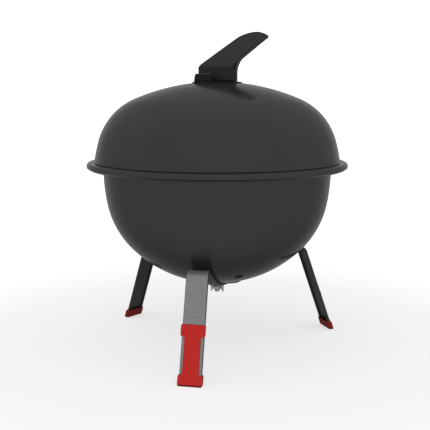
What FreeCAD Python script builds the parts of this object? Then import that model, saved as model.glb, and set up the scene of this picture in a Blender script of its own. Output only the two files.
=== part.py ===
import FreeCAD, Part
import math
import os
import re

import Sketcher

# Portable kettle charcoal grill.  The origin is on the floor under the kettle's axis, +Z is up,
# and the front leg points along -Y.  All lengths are in millimetres and all angles in degrees.

DRIVING_SIZES = {
    # sheet metal
    "sheet": 1.2,
    "running_gap": 0.3,
    # rim of the bowl
    "rim_z": 272.3,
    "rim_radius": 189.0,
    "rim_corner": 4.0,
    "lip_height": 7.9,
    "step_radius": 175.5,
    "step_height": 5.0,
    # bowl: bottom sphere, side arc and wall arc, each tangent to the next
    "bowl_bottom": 93.5,
    "bowl_base_radius": 177.0,
    "bowl_base_angle": 43.66,
    "bowl_side_radius": 127.0,
    "bowl_side_angle": 10.34,
    "bowl_wall_radius": 276.0,
    "bowl_vent_radius": 6.5,
    "bowl_vent_circle": 91.0,
    # lid: crown, shoulder arc and wall arc, each tangent to the next
    "lid_top": 386.7,
    "crown_radius": 303.6,
    "crown_angle": 66.88,
    "shoulder_radius": 92.0,
    "shoulder_angle": 15.32,
    "lid_wall_radius": 288.0,
    "lid_vent_radius": 6.0,
    "lid_vent_circle": 24.0,
    # lid damper
    "damper_radius": 36.5,
    "damper_hub": 3.0,
    "slot_circle": 11.0,
    "slot_half_width": 4.3,
    "slot_half_angle": 53.0,
    "tab_distance": 32.0,
    "tab_base": 34.0,
    "tab_tip": 29.5,
    "tab_top": 397.5,
    "damper_yaw": -30.0,
    # lid handle
    "handle_bottom": 388.6,
    "handle_depth": 30.0,
    "handle_corner": 8.0,
    "block_left": -26.2,
    "block_right": 28.8,
    "block_top": 407.5,
    "crest_x": 29.4,
    "crest_z": 446.9,
    "peak_x": 57.8,
    "peak_z": 455.5,
    "tip_x": 73.0,
    "tip_z": 450.5,
    "heel_x": 70.2,
    "heel_z": 445.9,
    "throat_x": 36.5,
    "throat_z": 419.8,
    "throat_radius": 24.0,
    "throat_low": 402.0,
    "crest_radius": 60.0,
    "brow_radius": 34.0,
    "tip_radius": 3.6,
    "handle_taper": 8.5,
    # lid screws
    "screw_circle": 11.0,
    "screw_radius": 2.5,
    "screw_reach": 14.0,
    "screw_head_radius": 4.75,
    "screw_head_height": 3.0,
    "spacer_radius": 4.0,
    "screw_clearance": 2.7,
    "lid_washer_radius": 6.0,
    "lid_washer_top": 385.0,
    "washer_thickness": 1.2,
    # legs
    "leg_sheet": 2.0,
    "leg_width": 30.0,
    "leg_depth": 4.5,
    "leg_angle": 20.0,
    "leg_reach": 190.0,
    "bend_radius": 12.5,
    "bend_top": 138.0,
    "arm_gap": 0.4,
    "tab_inner": -14.0,
    "tab_outer": 24.0,
    "ramp_end": 46.0,
    "rail_start": 50.0,
    "stack_top": 93.4,
    "stack_pitch": 2.05,
    # feet
    "foot_wall": 1.5,
    "foot_height": 13.4,
    "foot_floor": 1.5,
    "web_width": 21.5,
    "cuff_low": 59.3,
    "cuff_high": 74.1,
    "cuff_lip": 1.6,
    "cuff_width": 33.0,
    "back_cuff_width": 21.5,
    # centre bolt and wing nut
    "bolt_radius": 4.0,
    "bolt_end": 75.5,
    "bolt_head_radius": 10.0,
    "bolt_head_height": 4.6,
    "bolt_seat": 96.4,
    "neck_side": 8.0,
    "neck_clearance": 0.2,
    "bolt_washer_radius": 11.0,
    "bolt_washer_hole": 6.0,
    "bolt_washer_bottom": 95.1,
    "hub_washer_radius": 12.0,
    "hub_washer_hole": 4.3,
    "hub_washer_thickness": 1.5,
    "nut_clearance": 0.05,
    "nut_radius": 7.0,
    "nut_height": 6.5,
    "nut_taper": 1.5,
    "wing_thickness": 2.2,
    "wing_reach": 10.0,
    "wing_drop": 11.0,
    # cooking grate
    "grate_z": 252.0,
    "grate_ring": 157.5,
    "ring_wire": 2.5,
    "rod_wire": 2.0,
    "rod_pitch": 15.0,
    "weld_sink": 0.2,
    "brace_offset": 60.0,
    "grip_x": 150.0,
    "grip_half_span": 32.0,
    "grip_top": 284.0,
    "grip_bend": 9.0,
    # charcoal grate
    "coal_z": 150.9,
    "coal_ring": 125.0,
    "coal_brace_offset": 45.0,
    # brackets that hold the cooking grate
    "bracket_outer": 162.7,
    "bracket_inner": 150.0,
    "bracket_width": 18.0,
    "bracket_drop": 13.0,
    "bracket_sheet": 1.5,
}

# The arms are stacked on the centre bolt in this order, the front one next to the bowl.
LEG_YAWS = {"front": -90.0, "right": 30.0, "left": 150.0}
BRACKET_YAWS = (90.0, 210.0, 330.0)
BOWL_VENT_YAWS = (60.0, 180.0, 300.0)
LID_VENT_YAWS = (90.0, 210.0, 330.0)
COOKING_ROD_COUNT = 21
COAL_ROD_COUNT = 17

doc = FreeCAD.newDocument("kettle_grill")
sheet = doc.addObject("Spreadsheet::Sheet", "Sizes")
for row, (alias, number) in enumerate(DRIVING_SIZES.items(), start=1):
    sheet.set(f"A{row}", alias.replace("_", " "))
    sheet.set(f"B{row}", str(number))
    sheet.setAlias(f"B{row}", alias)
doc.recompute()

ALIASES = re.compile(r"\b(" + "|".join(sorted(DRIVING_SIZES, key=len, reverse=True)) + r")\b")
NODES = []


def value(expression):
    """Number that an expression in the sheet's aliases gives."""
    result = sheet.evalExpression(str(expression))
    return float(getattr(result, "Value", result))


def bind(item, target, expression):
    """Bind a property or a constraint to the sheet."""
    item.setExpression(target, ALIASES.sub(r"Sizes.\1", str(expression)))


def spin(yaw):
    return FreeCAD.Rotation(FreeCAD.Vector(0, 0, 1), yaw)


def place(item, x=0.0, y=0.0, z=0.0, yaw=0.0):
    item.Placement = FreeCAD.Placement(FreeCAD.Vector(x, y, z), spin(yaw))


def node(item, label):
    """Give a finished sub-part the name of its file."""
    item.Label = label
    NODES.append(item)
    return item


def new_body(label):
    body = doc.addObject("PartDesign::Body", label)
    return node(body, label)


def origin_plane(body, role):
    for feature in body.Origin.OriginFeatures:
        if feature.Role == role:
            return feature
    raise ValueError(role)


def new_sketch(body, name, plane, offset="0"):
    sketch = body.newObject("Sketcher::SketchObject", f"{body.Name}_{name}")
    sketch.AttachmentSupport = [(origin_plane(body, plane), "")]
    sketch.MapMode = "FlatFace"
    bind(sketch, "AttachmentOffset.Base.z", f"1 mm * ({offset})")
    return sketch


def constrain(sketch, kind, references, expression):
    index = sketch.addConstraint(Sketcher.Constraint(kind, *references, value(expression)))
    bind(sketch, f"Constraints[{index}]", expression)


def pin_point(sketch, edge, end, x, y):
    """Hold one point of the sketch at (x, y), both expressions."""
    vertical_axis, horizontal_axis, origin = -2, -1, (-1, 1)
    if x == "0":
        sketch.addConstraint(Sketcher.Constraint("PointOnObject", edge, end, vertical_axis))
    else:
        constrain(sketch, "DistanceX", (*origin, edge, end), x)
    if y == "0":
        sketch.addConstraint(Sketcher.Constraint("PointOnObject", edge, end, horizontal_axis))
    else:
        constrain(sketch, "DistanceY", (*origin, edge, end), y)


def add_outline(sketch, corners, arcs=None):
    """Closed outline through corners, each a pair of expressions.

    arcs[i] = (centre x, centre y, radius, turn) bends the edge after corner i; turn is
    "left" for an arc that runs counter-clockwise from corner i.
    """
    arcs = arcs or {}
    points = [FreeCAD.Vector(value(x), value(y), 0) for x, y in corners]
    ends = []
    for i, start in enumerate(points):
        finish = points[(i + 1) % len(points)]
        if i in arcs:
            cx, cy, radius, turn = arcs[i]
            centre = FreeCAD.Vector(value(cx), value(cy), 0)
            circle = Part.Circle(centre, FreeCAD.Vector(0, 0, 1), value(radius))
            first, last = (start, finish) if turn == "left" else (finish, start)
            low = math.atan2(first.y - centre.y, first.x - centre.x)
            high = math.atan2(last.y - centre.y, last.x - centre.x)
            edge = sketch.addGeometry(Part.ArcOfCircle(circle, low, high), False)
            constrain(sketch, "Radius", (edge,), radius)
            ends.append((edge, 1, 2) if turn == "left" else (edge, 2, 1))
        else:
            edge = sketch.addGeometry(Part.LineSegment(start, finish), False)
            ends.append((edge, 1, 2))
    for i, (edge, start, _) in enumerate(ends):
        before, _, finish = ends[i - 1]
        sketch.addConstraint(Sketcher.Constraint("Coincident", before, finish, edge, start))
        pin_point(sketch, edge, start, *corners[i])
    return sketch


def add_circle(sketch, x, y, radius):
    centre = FreeCAD.Vector(value(x), value(y), 0)
    edge = sketch.addGeometry(Part.Circle(centre, FreeCAD.Vector(0, 0, 1), value(radius)), False)
    constrain(sketch, "Radius", (edge,), radius)
    pin_point(sketch, edge, 3, x, y)


def polar(radius, yaw):
    """Expressions for a point at a radius and a yaw; a zero is given as "0"."""
    x = "0" if abs(math.cos(math.radians(yaw))) < 1e-9 else f"({radius}) * cos({yaw})"
    y = "0" if abs(math.sin(math.radians(yaw))) < 1e-9 else f"({radius}) * sin({yaw})"
    return x, y


def revolve(body, sketch):
    feature = body.newObject("PartDesign::Revolution", f"{sketch.Name}_turn")
    feature.Profile = sketch
    feature.ReferenceAxis = (sketch, ["V_Axis"])
    feature.Angle = 360.0
    return feature


def pad(body, sketch, length, side="Symmetric", backwards=False):
    feature = body.newObject("PartDesign::Pad", f"{sketch.Name}_pad")
    feature.Profile = sketch
    feature.SideType = side
    feature.Reversed = backwards
    bind(feature, "Length", f"1 mm * ({length})")
    return feature


def pocket(body, sketch, length, side="One side"):
    """Cut along the sketch's own normal, and make sure that something went."""
    doc.recompute()
    before = body.Shape.Volume
    feature = body.newObject("PartDesign::Pocket", f"{sketch.Name}_cut")
    feature.Profile = sketch
    feature.SideType = side
    feature.Reversed = True
    bind(feature, "Length", f"1 mm * ({length})")
    doc.recompute()
    if not body.Shape.Volume < before - 1e-3:
        raise RuntimeError(f"{feature.Name} cuts nothing")
    return feature


def fillet(body, radius, chosen):
    """Round the edges of the body that chosen(edge) picks."""
    doc.recompute()
    base = body.Tip
    names = [f"Edge{i}" for i, edge in enumerate(base.Shape.Edges, start=1) if chosen(edge)]
    feature = body.newObject("PartDesign::Fillet", f"{body.Name}_round_{len(body.Group)}")
    feature.Base = (base, names)
    bind(feature, "Radius", f"1 mm * ({radius})")
    doc.recompute()
    return feature


def cylinder(name, radius, height, x, y, z, yaw=0.0, lying=False):
    """Part::Cylinder that stands on (x, y, z), or lies along the direction yaw when lying."""
    item = doc.addObject("Part::Cylinder", name)
    bind(item, "Radius", f"1 mm * ({radius})")
    bind(item, "Height", f"1 mm * ({height})")
    turn = spin(yaw)
    if lying:
        turn = turn.multiply(FreeCAD.Rotation(FreeCAD.Vector(0, 1, 0), 90))
    item.Placement = FreeCAD.Placement(FreeCAD.Vector(value(x), value(y), value(z)), turn)
    return item


def tube(name, outer, inner, height, x, y, z):
    item = doc.addObject("Part::Cut", name)
    item.Base = cylinder(f"{name}_outside", outer, height, x, y, z)
    item.Tool = cylinder(f"{name}_bore", inner, height, x, y, z)
    return item


def group(label, members):
    """Identical pieces that share one node stay separate solids."""
    item = doc.addObject("Part::Compound", label)
    item.Links = members
    return node(item, label)


def arc_chain(radii, angles, centre_z):
    """Centres and joints of three tangent arcs, as expressions.

    The first centre is on the axis at centre_z.  Each angle is that of the joint's normal
    above the horizontal; it is negative for a bowl.
    """
    centres = [("0", centre_z)]
    for k, angle in enumerate(angles):
        step = f"({radii[k]} - {radii[k + 1]})"
        x, z = centres[k]
        centres.append((f"({x} + {step} * cos({angle}))", f"({z} + {step} * sin({angle}))"))
    return centres


def on_arc(centre, radius, angle):
    x, z = centre
    return f"({x} + ({radius}) * cos({angle}))", f"({z} + ({radius}) * sin({angle}))"


# Bowl: one pressed sheet, drawn as four zones that meet edge to edge: the base, the side, the
# wall and the rim, which steps up inside the lid and turns down at its outer edge.
BOWL_RADII = ("bowl_base_radius", "bowl_side_radius", "bowl_wall_radius")
BOWL_ANGLES = ("-bowl_base_angle", "-bowl_side_angle")
bowl_centres = arc_chain(BOWL_RADII, BOWL_ANGLES, "(bowl_bottom + bowl_base_radius)")
bowl_joints = [on_arc(bowl_centres[k + 1], BOWL_RADII[k + 1], BOWL_ANGLES[k]) for k in (0, 1)]
bowl_inner_joints = [
    on_arc(bowl_centres[k + 1], f"{BOWL_RADII[k + 1]} - sheet", BOWL_ANGLES[k]) for k in (0, 1)
]
wall_outer = f"({bowl_centres[2][0]} + bowl_wall_radius)"
wall_inner = f"({bowl_centres[2][0]} + bowl_wall_radius - sheet)"
wall_z = bowl_centres[2][1]
bowl_outside = [("0", "bowl_bottom"), *bowl_joints, (wall_outer, wall_z)]
bowl_inside = [("0", "bowl_bottom + sheet"), *bowl_inner_joints, (wall_inner, wall_z)]


def bowl_zone(label, number):
    """Zone of the bowl along one of its three arcs."""
    corners = [
        bowl_outside[number],
        bowl_outside[number + 1],
        bowl_inside[number + 1],
        bowl_inside[number],
    ]
    centre, radius = bowl_centres[number], BOWL_RADII[number]
    arcs = {0: (*centre, radius, "left"), 2: (*centre, f"{radius} - sheet", "right")}
    zone = new_body(label)
    revolve(zone, add_outline(new_sketch(zone, "section", "XZ_Plane"), corners, arcs))
    return zone


bowl_base = bowl_zone("bowl_base", 0)
bowl_zone("bowl_side", 1)
bowl_zone("bowl_wall", 2)
step_top = "(rim_z + step_height)"
rim_corners = [
    (wall_outer, wall_z),
    (wall_outer, f"{step_top} - sheet"),
    ("step_radius - sheet", f"{step_top} - sheet"),
    ("step_radius - sheet", "rim_z - sheet"),
    ("rim_radius - rim_corner", "rim_z - sheet"),
    ("rim_radius - sheet", "rim_z - rim_corner"),
    ("rim_radius - sheet", "rim_z - lip_height"),
    ("rim_radius", "rim_z - lip_height"),
    ("rim_radius", "rim_z - rim_corner"),
    ("rim_radius - rim_corner", "rim_z"),
    ("step_radius", "rim_z"),
    ("step_radius", step_top),
    (wall_inner, step_top),
    (wall_inner, wall_z),
]
corner_centre = ("(rim_radius - rim_corner)", "(rim_z - rim_corner)")
rim_arcs = {
    4: (*corner_centre, "rim_corner - sheet", "right"),
    8: (*corner_centre, "rim_corner", "left"),
}
rim = new_body("bowl_rim")
revolve(rim, add_outline(new_sketch(rim, "section", "XZ_Plane"), rim_corners, rim_arcs))
bowl_holes = new_sketch(bowl_base, "vents", "XY_Plane")
for vent_yaw in BOWL_VENT_YAWS:
    add_circle(bowl_holes, *polar("bowl_vent_circle", vent_yaw), "bowl_vent_radius")
pocket(bowl_base, bowl_holes, "rim_z")


def neck_corners(yaw):
    """Square hole for the bolt's neck, in a frame that is turned by yaw."""
    reach = "(neck_side / 2 + neck_clearance) * sqrt(2)"
    return [polar(reach, 45.0 + 90.0 * k - yaw) for k in range(4)]


neck_hole = add_outline(new_sketch(bowl_base, "neck_hole", "XY_Plane"), neck_corners(0.0))
pocket(bowl_base, neck_hole, "rim_z")

# Brackets: three angles inside the wall, under the cooking grate's ring.
shelf_z = "(grate_z - ring_wire - running_gap)"
for number, yaw in enumerate(BRACKET_YAWS, start=1):
    bracket = new_body(f"grate_bracket_{number}")
    corners = [
        ("bracket_inner", shelf_z),
        ("bracket_inner", f"{shelf_z} - bracket_sheet"),
        ("bracket_outer - bracket_sheet", f"{shelf_z} - bracket_sheet"),
        ("bracket_outer - bracket_sheet", f"{shelf_z} - bracket_drop"),
        ("bracket_outer", f"{shelf_z} - bracket_drop"),
        ("bracket_outer", shelf_z),
    ]
    pad(bracket, add_outline(new_sketch(bracket, "angle", "XZ_Plane"), corners), "bracket_width")
    place(bracket, yaw=yaw)


# Legs: a strip with turned-down rails.  Its arm hugs the bowl from the centre bolt, leaves it on
# a straight run, bends over and goes down to the floor.
ARM_RADIUS = "(bowl_base_radius + arm_gap)"
ARM_CENTRE = ("0", "(bowl_bottom + bowl_base_radius)")
BEND_X = (
    "(leg_reach - (bend_top - bend_radius + bend_radius * sin(leg_angle)) * tan(leg_angle)"
    " - bend_radius * cos(leg_angle))"
)
BEND_CENTRE = (BEND_X, "(bend_top - bend_radius)")
BEND_DROP = f"({ARM_CENTRE[1]} - {BEND_CENTRE[1]})"
ARM_SLOPE = (
    f"(atan({BEND_X} / {BEND_DROP})"
    f" - acos(({ARM_RADIUS} + bend_radius) / sqrt({BEND_X} ^ 2 + {BEND_DROP} ^ 2)))"
)


def arm_point(depth, angle):
    """Point of the arm, depth under its top face, where its normal is angle from the vertical."""
    reach = f"({ARM_RADIUS} + {depth})"
    return f"{reach} * sin({angle})", f"{ARM_CENTRE[1]} - {reach} * cos({angle})"


def bend_point(depth, angle):
    """Point of the bend at an angle above the horizontal."""
    return (
        f"{BEND_CENTRE[0]} + (bend_radius - {depth}) * cos({angle})",
        f"{BEND_CENTRE[1]} + (bend_radius - {depth}) * sin({angle})",
    )


def leg_line(depth, height):
    """Point of the leg, depth behind its outer face, at a height above the floor."""
    return f"leg_reach - ({height}) * tan(leg_angle) - ({depth}) / cos(leg_angle)", height


def leg_strip(start_angle, outer_depth, inner_depth):
    """Corners and arcs of the strip from the arm's start to the foot and back."""
    corners = [
        arm_point(outer_depth, start_angle),
        arm_point(outer_depth, ARM_SLOPE),
        bend_point(outer_depth, f"90 deg + {ARM_SLOPE}"),
        bend_point(outer_depth, "leg_angle"),
        leg_line(outer_depth, "foot_floor"),
        leg_line(inner_depth, "foot_floor"),
        bend_point(inner_depth, "leg_angle"),
        bend_point(inner_depth, f"90 deg + {ARM_SLOPE}"),
        arm_point(inner_depth, ARM_SLOPE),
        arm_point(inner_depth, start_angle),
    ]
    arcs = {
        0: (*ARM_CENTRE, f"{ARM_RADIUS} + {outer_depth}", "left"),
        2: (*BEND_CENTRE, f"bend_radius - {outer_depth}", "right"),
        6: (*BEND_CENTRE, f"bend_radius - {inner_depth}", "left"),
        8: (*ARM_CENTRE, f"{ARM_RADIUS} + {inner_depth}", "right"),
    }
    return corners, arcs


def make_leg(name, layer, yaw):
    leg = new_body(f"{name}_leg")
    corners, arcs = leg_strip(f"asin(ramp_end / {ARM_RADIUS})", "0", "leg_sheet")
    tab_z = f"(stack_top - {layer} * stack_pitch)"
    corners += [
        ("tab_outer", f"{tab_z} - leg_sheet"),
        ("tab_inner", f"{tab_z} - leg_sheet"),
        ("tab_inner", tab_z),
        ("tab_outer", tab_z),
    ]
    pad(leg, add_outline(new_sketch(leg, "strip", "XZ_Plane"), corners, arcs), "leg_width")
    rail_corners, rail_arcs = leg_strip(f"asin(rail_start / {ARM_RADIUS})", "0", "leg_depth")
    for side, offset in (("near", "leg_width / 2 - leg_sheet"), ("far", "-leg_width / 2")):
        rail = add_outline(
            new_sketch(leg, f"{side}_rail", "XZ_Plane", offset), rail_corners, rail_arcs
        )
        pad(leg, rail, "leg_sheet", side="One side")
    pocket(leg, add_outline(new_sketch(leg, "neck_hole", "XY_Plane"), neck_corners(yaw)), "rim_z")
    place(leg, yaw=yaw)


def make_foot(name, yaw, cuff_width):
    """Moulded sleeve: a boot round the leg's end, a web up its face and a cuff at the top."""
    foot = new_body(f"{name}_foot")
    wide = "leg_width + 2 * foot_wall"

    def slab(label, front, back, low, high, width):
        corners = [
            leg_line(f"-{front}", low),
            leg_line(f"-{front}", high),
            leg_line(back, high),
            leg_line(back, low),
        ]
        pad(foot, add_outline(new_sketch(foot, label, "XZ_Plane"), corners), width)

    slab("boot", "foot_wall", "leg_depth + foot_wall", "0", "foot_height", wide)
    slab("web", "foot_wall", "0.1", "foot_height - 1", "cuff_low + 1", "web_width")
    slab("cuff", "foot_wall", "cuff_lip", "cuff_low", "cuff_high", cuff_width)
    room = [
        leg_line("0", "foot_floor"),
        leg_line("0", "cuff_high + 1"),
        leg_line("leg_depth", "cuff_high + 1"),
        leg_line("leg_depth", "foot_floor"),
    ]
    pocket(foot, add_outline(new_sketch(foot, "room", "XZ_Plane"), room), "leg_width", "Symmetric")
    place(foot, yaw=yaw)


for layer, (leg_name, leg_yaw) in enumerate(LEG_YAWS.items()):
    make_leg(leg_name, layer, leg_yaw)
    make_foot(leg_name, leg_yaw, "cuff_width" if leg_name == "front" else "back_cuff_width")

# Centre bolt: domed head inside the bowl, square neck through the bowl and the three arms.
stack_bottom = "(stack_top - 2 * stack_pitch - leg_sheet)"
bolt = new_body("center_bolt")
dome_radius = "((bolt_head_radius ^ 2 + bolt_head_height ^ 2) / (2 * bolt_head_height))"
bolt_corners = [
    ("0", "bolt_end"),
    ("bolt_radius - 0.8", "bolt_end"),
    ("bolt_radius", "bolt_end + 0.8"),
    ("bolt_radius", "bolt_seat"),
    ("bolt_head_radius", "bolt_seat"),
    ("0", "bolt_seat + bolt_head_height"),
]
bolt_arcs = {4: ("0", f"bolt_seat + bolt_head_height - {dome_radius}", dome_radius, "left")}
revolve(bolt, add_outline(new_sketch(bolt, "turned", "XZ_Plane"), bolt_corners, bolt_arcs))
neck = [polar("neck_side / 2 * sqrt(2)", 45.0 + 90.0 * k) for k in range(4)]
neck_sketch = add_outline(new_sketch(bolt, "neck", "XY_Plane", stack_bottom), neck)
pad(bolt, neck_sketch, f"bolt_seat - {stack_bottom}", side="One side")

bolt_washer = tube(
    "bolt_washer",
    "bolt_washer_radius",
    "bolt_washer_hole",
    "bolt_seat - bolt_washer_bottom",
    "0",
    "0",
    "bolt_washer_bottom",
)
node(bolt_washer, "bolt_washer")
hub_washer_bottom = f"({stack_bottom} - hub_washer_thickness)"
hub_washer = tube(
    "hub_washer",
    "hub_washer_radius",
    "hub_washer_hole",
    "hub_washer_thickness",
    "0",
    "0",
    hub_washer_bottom,
)
node(hub_washer, "hub_washer")

# Wing nut: its own frame starts at its top face.
nut = new_body("wing_nut")
nut_bore = "(bolt_radius + nut_clearance)"
nut_corners = [
    (nut_bore, "0"),
    ("nut_radius", "0"),
    ("nut_radius - nut_taper", "-nut_height"),
    (nut_bore, "-nut_height"),
]
revolve(nut, add_outline(new_sketch(nut, "hub", "XZ_Plane"), nut_corners))
for side, sign in (("right", ""), ("left", "-")):
    wing = [
        (f"{sign}(bolt_radius + 1)", "-0.6"),
        (f"{sign}nut_radius", "-0.6"),
        (f"{sign}wing_reach", "-0.7 * wing_drop"),
        (f"{sign}(wing_reach - 0.6)", "-wing_drop"),
        (f"{sign}(wing_reach - 3.2)", "-wing_drop"),
        (f"{sign}(bolt_radius + 1)", "1 - nut_height"),
    ]
    pad(nut, add_outline(new_sketch(nut, f"{side}_wing", "XZ_Plane"), wing), "wing_thickness")
place(nut, z=value(f"{hub_washer_bottom} - 0.05"))

# Lid: one pressed sheet, drawn as three zones that meet edge to edge: crown, shoulder and wall.
# It stands on the bowl's rim outside the step.
LID_RADII = ("crown_radius", "shoulder_radius", "lid_wall_radius")
LID_ANGLES = ("crown_angle", "shoulder_angle")
lid_centres = arc_chain(LID_RADII, LID_ANGLES, "(lid_top - crown_radius)")
lid_joints = [on_arc(lid_centres[k + 1], LID_RADII[k + 1], LID_ANGLES[k]) for k in (0, 1)]
lid_inner_joints = [
    on_arc(lid_centres[k + 1], f"{LID_RADII[k + 1]} - sheet", LID_ANGLES[k]) for k in (0, 1)
]
lid_low = "(rim_z + running_gap)"


def lid_edge(radius):
    rise = f"({lid_low} - {lid_centres[2][1]})"
    return f"{lid_centres[2][0]} + sqrt(({radius}) ^ 2 - {rise} ^ 2)", lid_low


lid_outside = [("0", "lid_top"), *lid_joints, lid_edge("lid_wall_radius")]
lid_inside = [("0", "lid_top - sheet"), *lid_inner_joints, lid_edge("lid_wall_radius - sheet")]


def lid_zone(label, number):
    """Zone of the lid along one of its three arcs."""
    corners = [
        lid_inside[number],
        lid_inside[number + 1],
        lid_outside[number + 1],
        lid_outside[number],
    ]
    centre, radius = lid_centres[number], LID_RADII[number]
    arcs = {0: (*centre, f"{radius} - sheet", "right"), 2: (*centre, radius, "left")}
    zone = new_body(label)
    revolve(zone, add_outline(new_sketch(zone, "section", "XZ_Plane"), corners, arcs))
    return zone


crown = lid_zone("lid_crown", 0)
lid_zone("lid_shoulder", 1)
lid_zone("lid_wall", 2)
lid_holes = new_sketch(crown, "holes", "XY_Plane")
for vent_yaw in LID_VENT_YAWS:
    add_circle(lid_holes, *polar("lid_vent_circle", vent_yaw), "lid_vent_radius")
for screw_yaw in (0.0, 180.0):
    add_circle(lid_holes, *polar("screw_circle", screw_yaw), "screw_clearance")
pocket(crown, lid_holes, "lid_top + 10")

# Lid damper: a dished disc that turns on the lid, with a tab bent up at its cut-off front edge.
# In its own frame the tab faces -Y and the two arc slots lie across X.
damper = new_body("lid_damper")
damper_centre = ("0", "(lid_top - crown_radius)")


def dish(depth, reach):
    """Point of the damper's dish, depth above the lid, at a radius."""
    return reach, f"{damper_centre[1]} + sqrt((crown_radius + {depth}) ^ 2 - ({reach}) ^ 2)"


dish_low, dish_high = "running_gap", "(running_gap + sheet)"
damper_corners = [
    dish(dish_low, "damper_hub"),
    dish(dish_low, "damper_radius"),
    dish(dish_high, "damper_radius"),
    dish(dish_high, "damper_hub"),
]
damper_arcs = {
    0: (*damper_centre, f"crown_radius + {dish_low}", "right"),
    2: (*damper_centre, f"crown_radius + {dish_high}", "left"),
}
revolve(damper, add_outline(new_sketch(damper, "dish", "XZ_Plane"), damper_corners, damper_arcs))
damper_holes = new_sketch(damper, "vents", "XY_Plane")
for vent_yaw in LID_VENT_YAWS:
    own_yaw = vent_yaw - DRIVING_SIZES["damper_yaw"]
    add_circle(damper_holes, *polar("lid_vent_circle", own_yaw), "lid_vent_radius")
pocket(damper, damper_holes, "lid_top + 10")


def slot_point(radius, angle, flip):
    return f"{flip}({radius}) * cos({angle})", f"{flip}({radius}) * sin({angle})"


for side, flip in (("right", ""), ("left", "-")):
    inner, outer = "slot_circle - slot_half_width", "slot_circle + slot_half_width"
    corners = [
        slot_point(inner, "-slot_half_angle", flip),
        slot_point(outer, "-slot_half_angle", flip),
        slot_point(outer, "slot_half_angle", flip),
        slot_point(inner, "slot_half_angle", flip),
    ]
    arcs = {1: ("0", "0", outer, "left"), 3: ("0", "0", inner, "right")}
    slot = add_outline(new_sketch(damper, f"{side}_slot", "XY_Plane"), corners, arcs)
    pocket(damper, slot, "lid_top + 10")
edge_cut = [
    ("-damper_radius", "-tab_distance"),
    ("-damper_radius", "-damper_radius - 1"),
    ("damper_radius", "-damper_radius - 1"),
    ("damper_radius", "-tab_distance"),
]
pocket(damper, add_outline(new_sketch(damper, "edge", "XY_Plane"), edge_cut), "lid_top + 10")
tab_foot = dish(dish_low, "tab_distance + 0.6")[1]
tab = [
    ("-tab_base / 2", tab_foot),
    ("tab_base / 2", tab_foot),
    ("tab_tip / 2", "tab_top"),
    ("-tab_tip / 2", "tab_top"),
]
tab_sketch = add_outline(new_sketch(damper, "tab", "XZ_Plane", "tab_distance - sheet"), tab)
pad(damper, tab_sketch, "sheet", side="One side")
place(damper, yaw=DRIVING_SIZES["damper_yaw"])

# Handle: a block that stands on two spacers and a lever that leans out over the lid.
handle = new_body("lid_handle")
handle_corners = [
    ("block_left", "handle_bottom"),
    ("block_right", "handle_bottom"),
    ("block_right", "throat_low"),
    ("throat_x", "throat_z"),
    ("heel_x", "heel_z"),
    ("tip_x", "tip_z"),
    ("peak_x", "peak_z"),
    ("crest_x", "crest_z"),
    ("block_left", "block_top"),
]


def chord_centre(first, last, radius):
    """Centre of the arc that turns left from first to last."""
    (ax, ay), (bx, by) = first, last
    half = f"(sqrt(({bx} - {ax}) ^ 2 + ({by} - {ay}) ^ 2) / 2)"
    rise = f"(sqrt({radius} ^ 2 - {half} ^ 2) / (2 * {half}))"
    return (
        f"(({ax} + {bx}) / 2 - ({by} - {ay}) * {rise})",
        f"(({ay} + {by}) / 2 + ({bx} - {ax}) * {rise})",
    )


def bent(index, radius, turn):
    first, last = handle_corners[index], handle_corners[index + 1]
    centre = (
        chord_centre(first, last, radius) if turn == "left" else chord_centre(last, first, radius)
    )
    return (*centre, radius, turn)


handle_arcs = {
    2: bent(2, "throat_radius", "right"),
    4: bent(4, "tip_radius", "left"),
    5: bent(5, "brow_radius", "left"),
    6: bent(6, "crest_radius", "left"),
}
side_view = add_outline(new_sketch(handle, "side", "XZ_Plane"), handle_corners, handle_arcs)
pad(handle, side_view, "handle_depth")
shave_top = "(peak_z + 5)"
for side, sign in (("near", "-"), ("far", "")):
    shave = [
        (f"{sign}handle_depth / 2", "block_top"),
        (f"{sign}(handle_depth / 2 + 2)", "block_top"),
        (f"{sign}(handle_depth / 2 + 2)", shave_top),
        (f"{sign}(handle_depth / 2 - ({shave_top} - block_top) * tan(handle_taper))", shave_top),
    ]
    shave_sketch = add_outline(new_sketch(handle, f"{side}_shave", "YZ_Plane"), shave)
    pocket(handle, shave_sketch, "4 * tip_x", "Symmetric")
threads = new_sketch(handle, "screw_holes", "XY_Plane", "handle_bottom")
for screw_yaw in (0.0, 180.0):
    add_circle(threads, *polar("screw_circle", screw_yaw), "screw_radius")
pocket(handle, threads, "screw_reach")


def upright_corner(edge):
    ends = [vertex.Point for vertex in edge.Vertexes]
    if len(ends) != 2:
        return False
    upright = abs(ends[0].x - ends[1].x) < 1e-3 and abs(ends[0].y - ends[1].y) < 1e-3
    return upright and abs(abs(ends[0].y) - value("handle_depth / 2")) < 1e-3


fillet(handle, "handle_corner", upright_corner)

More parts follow.
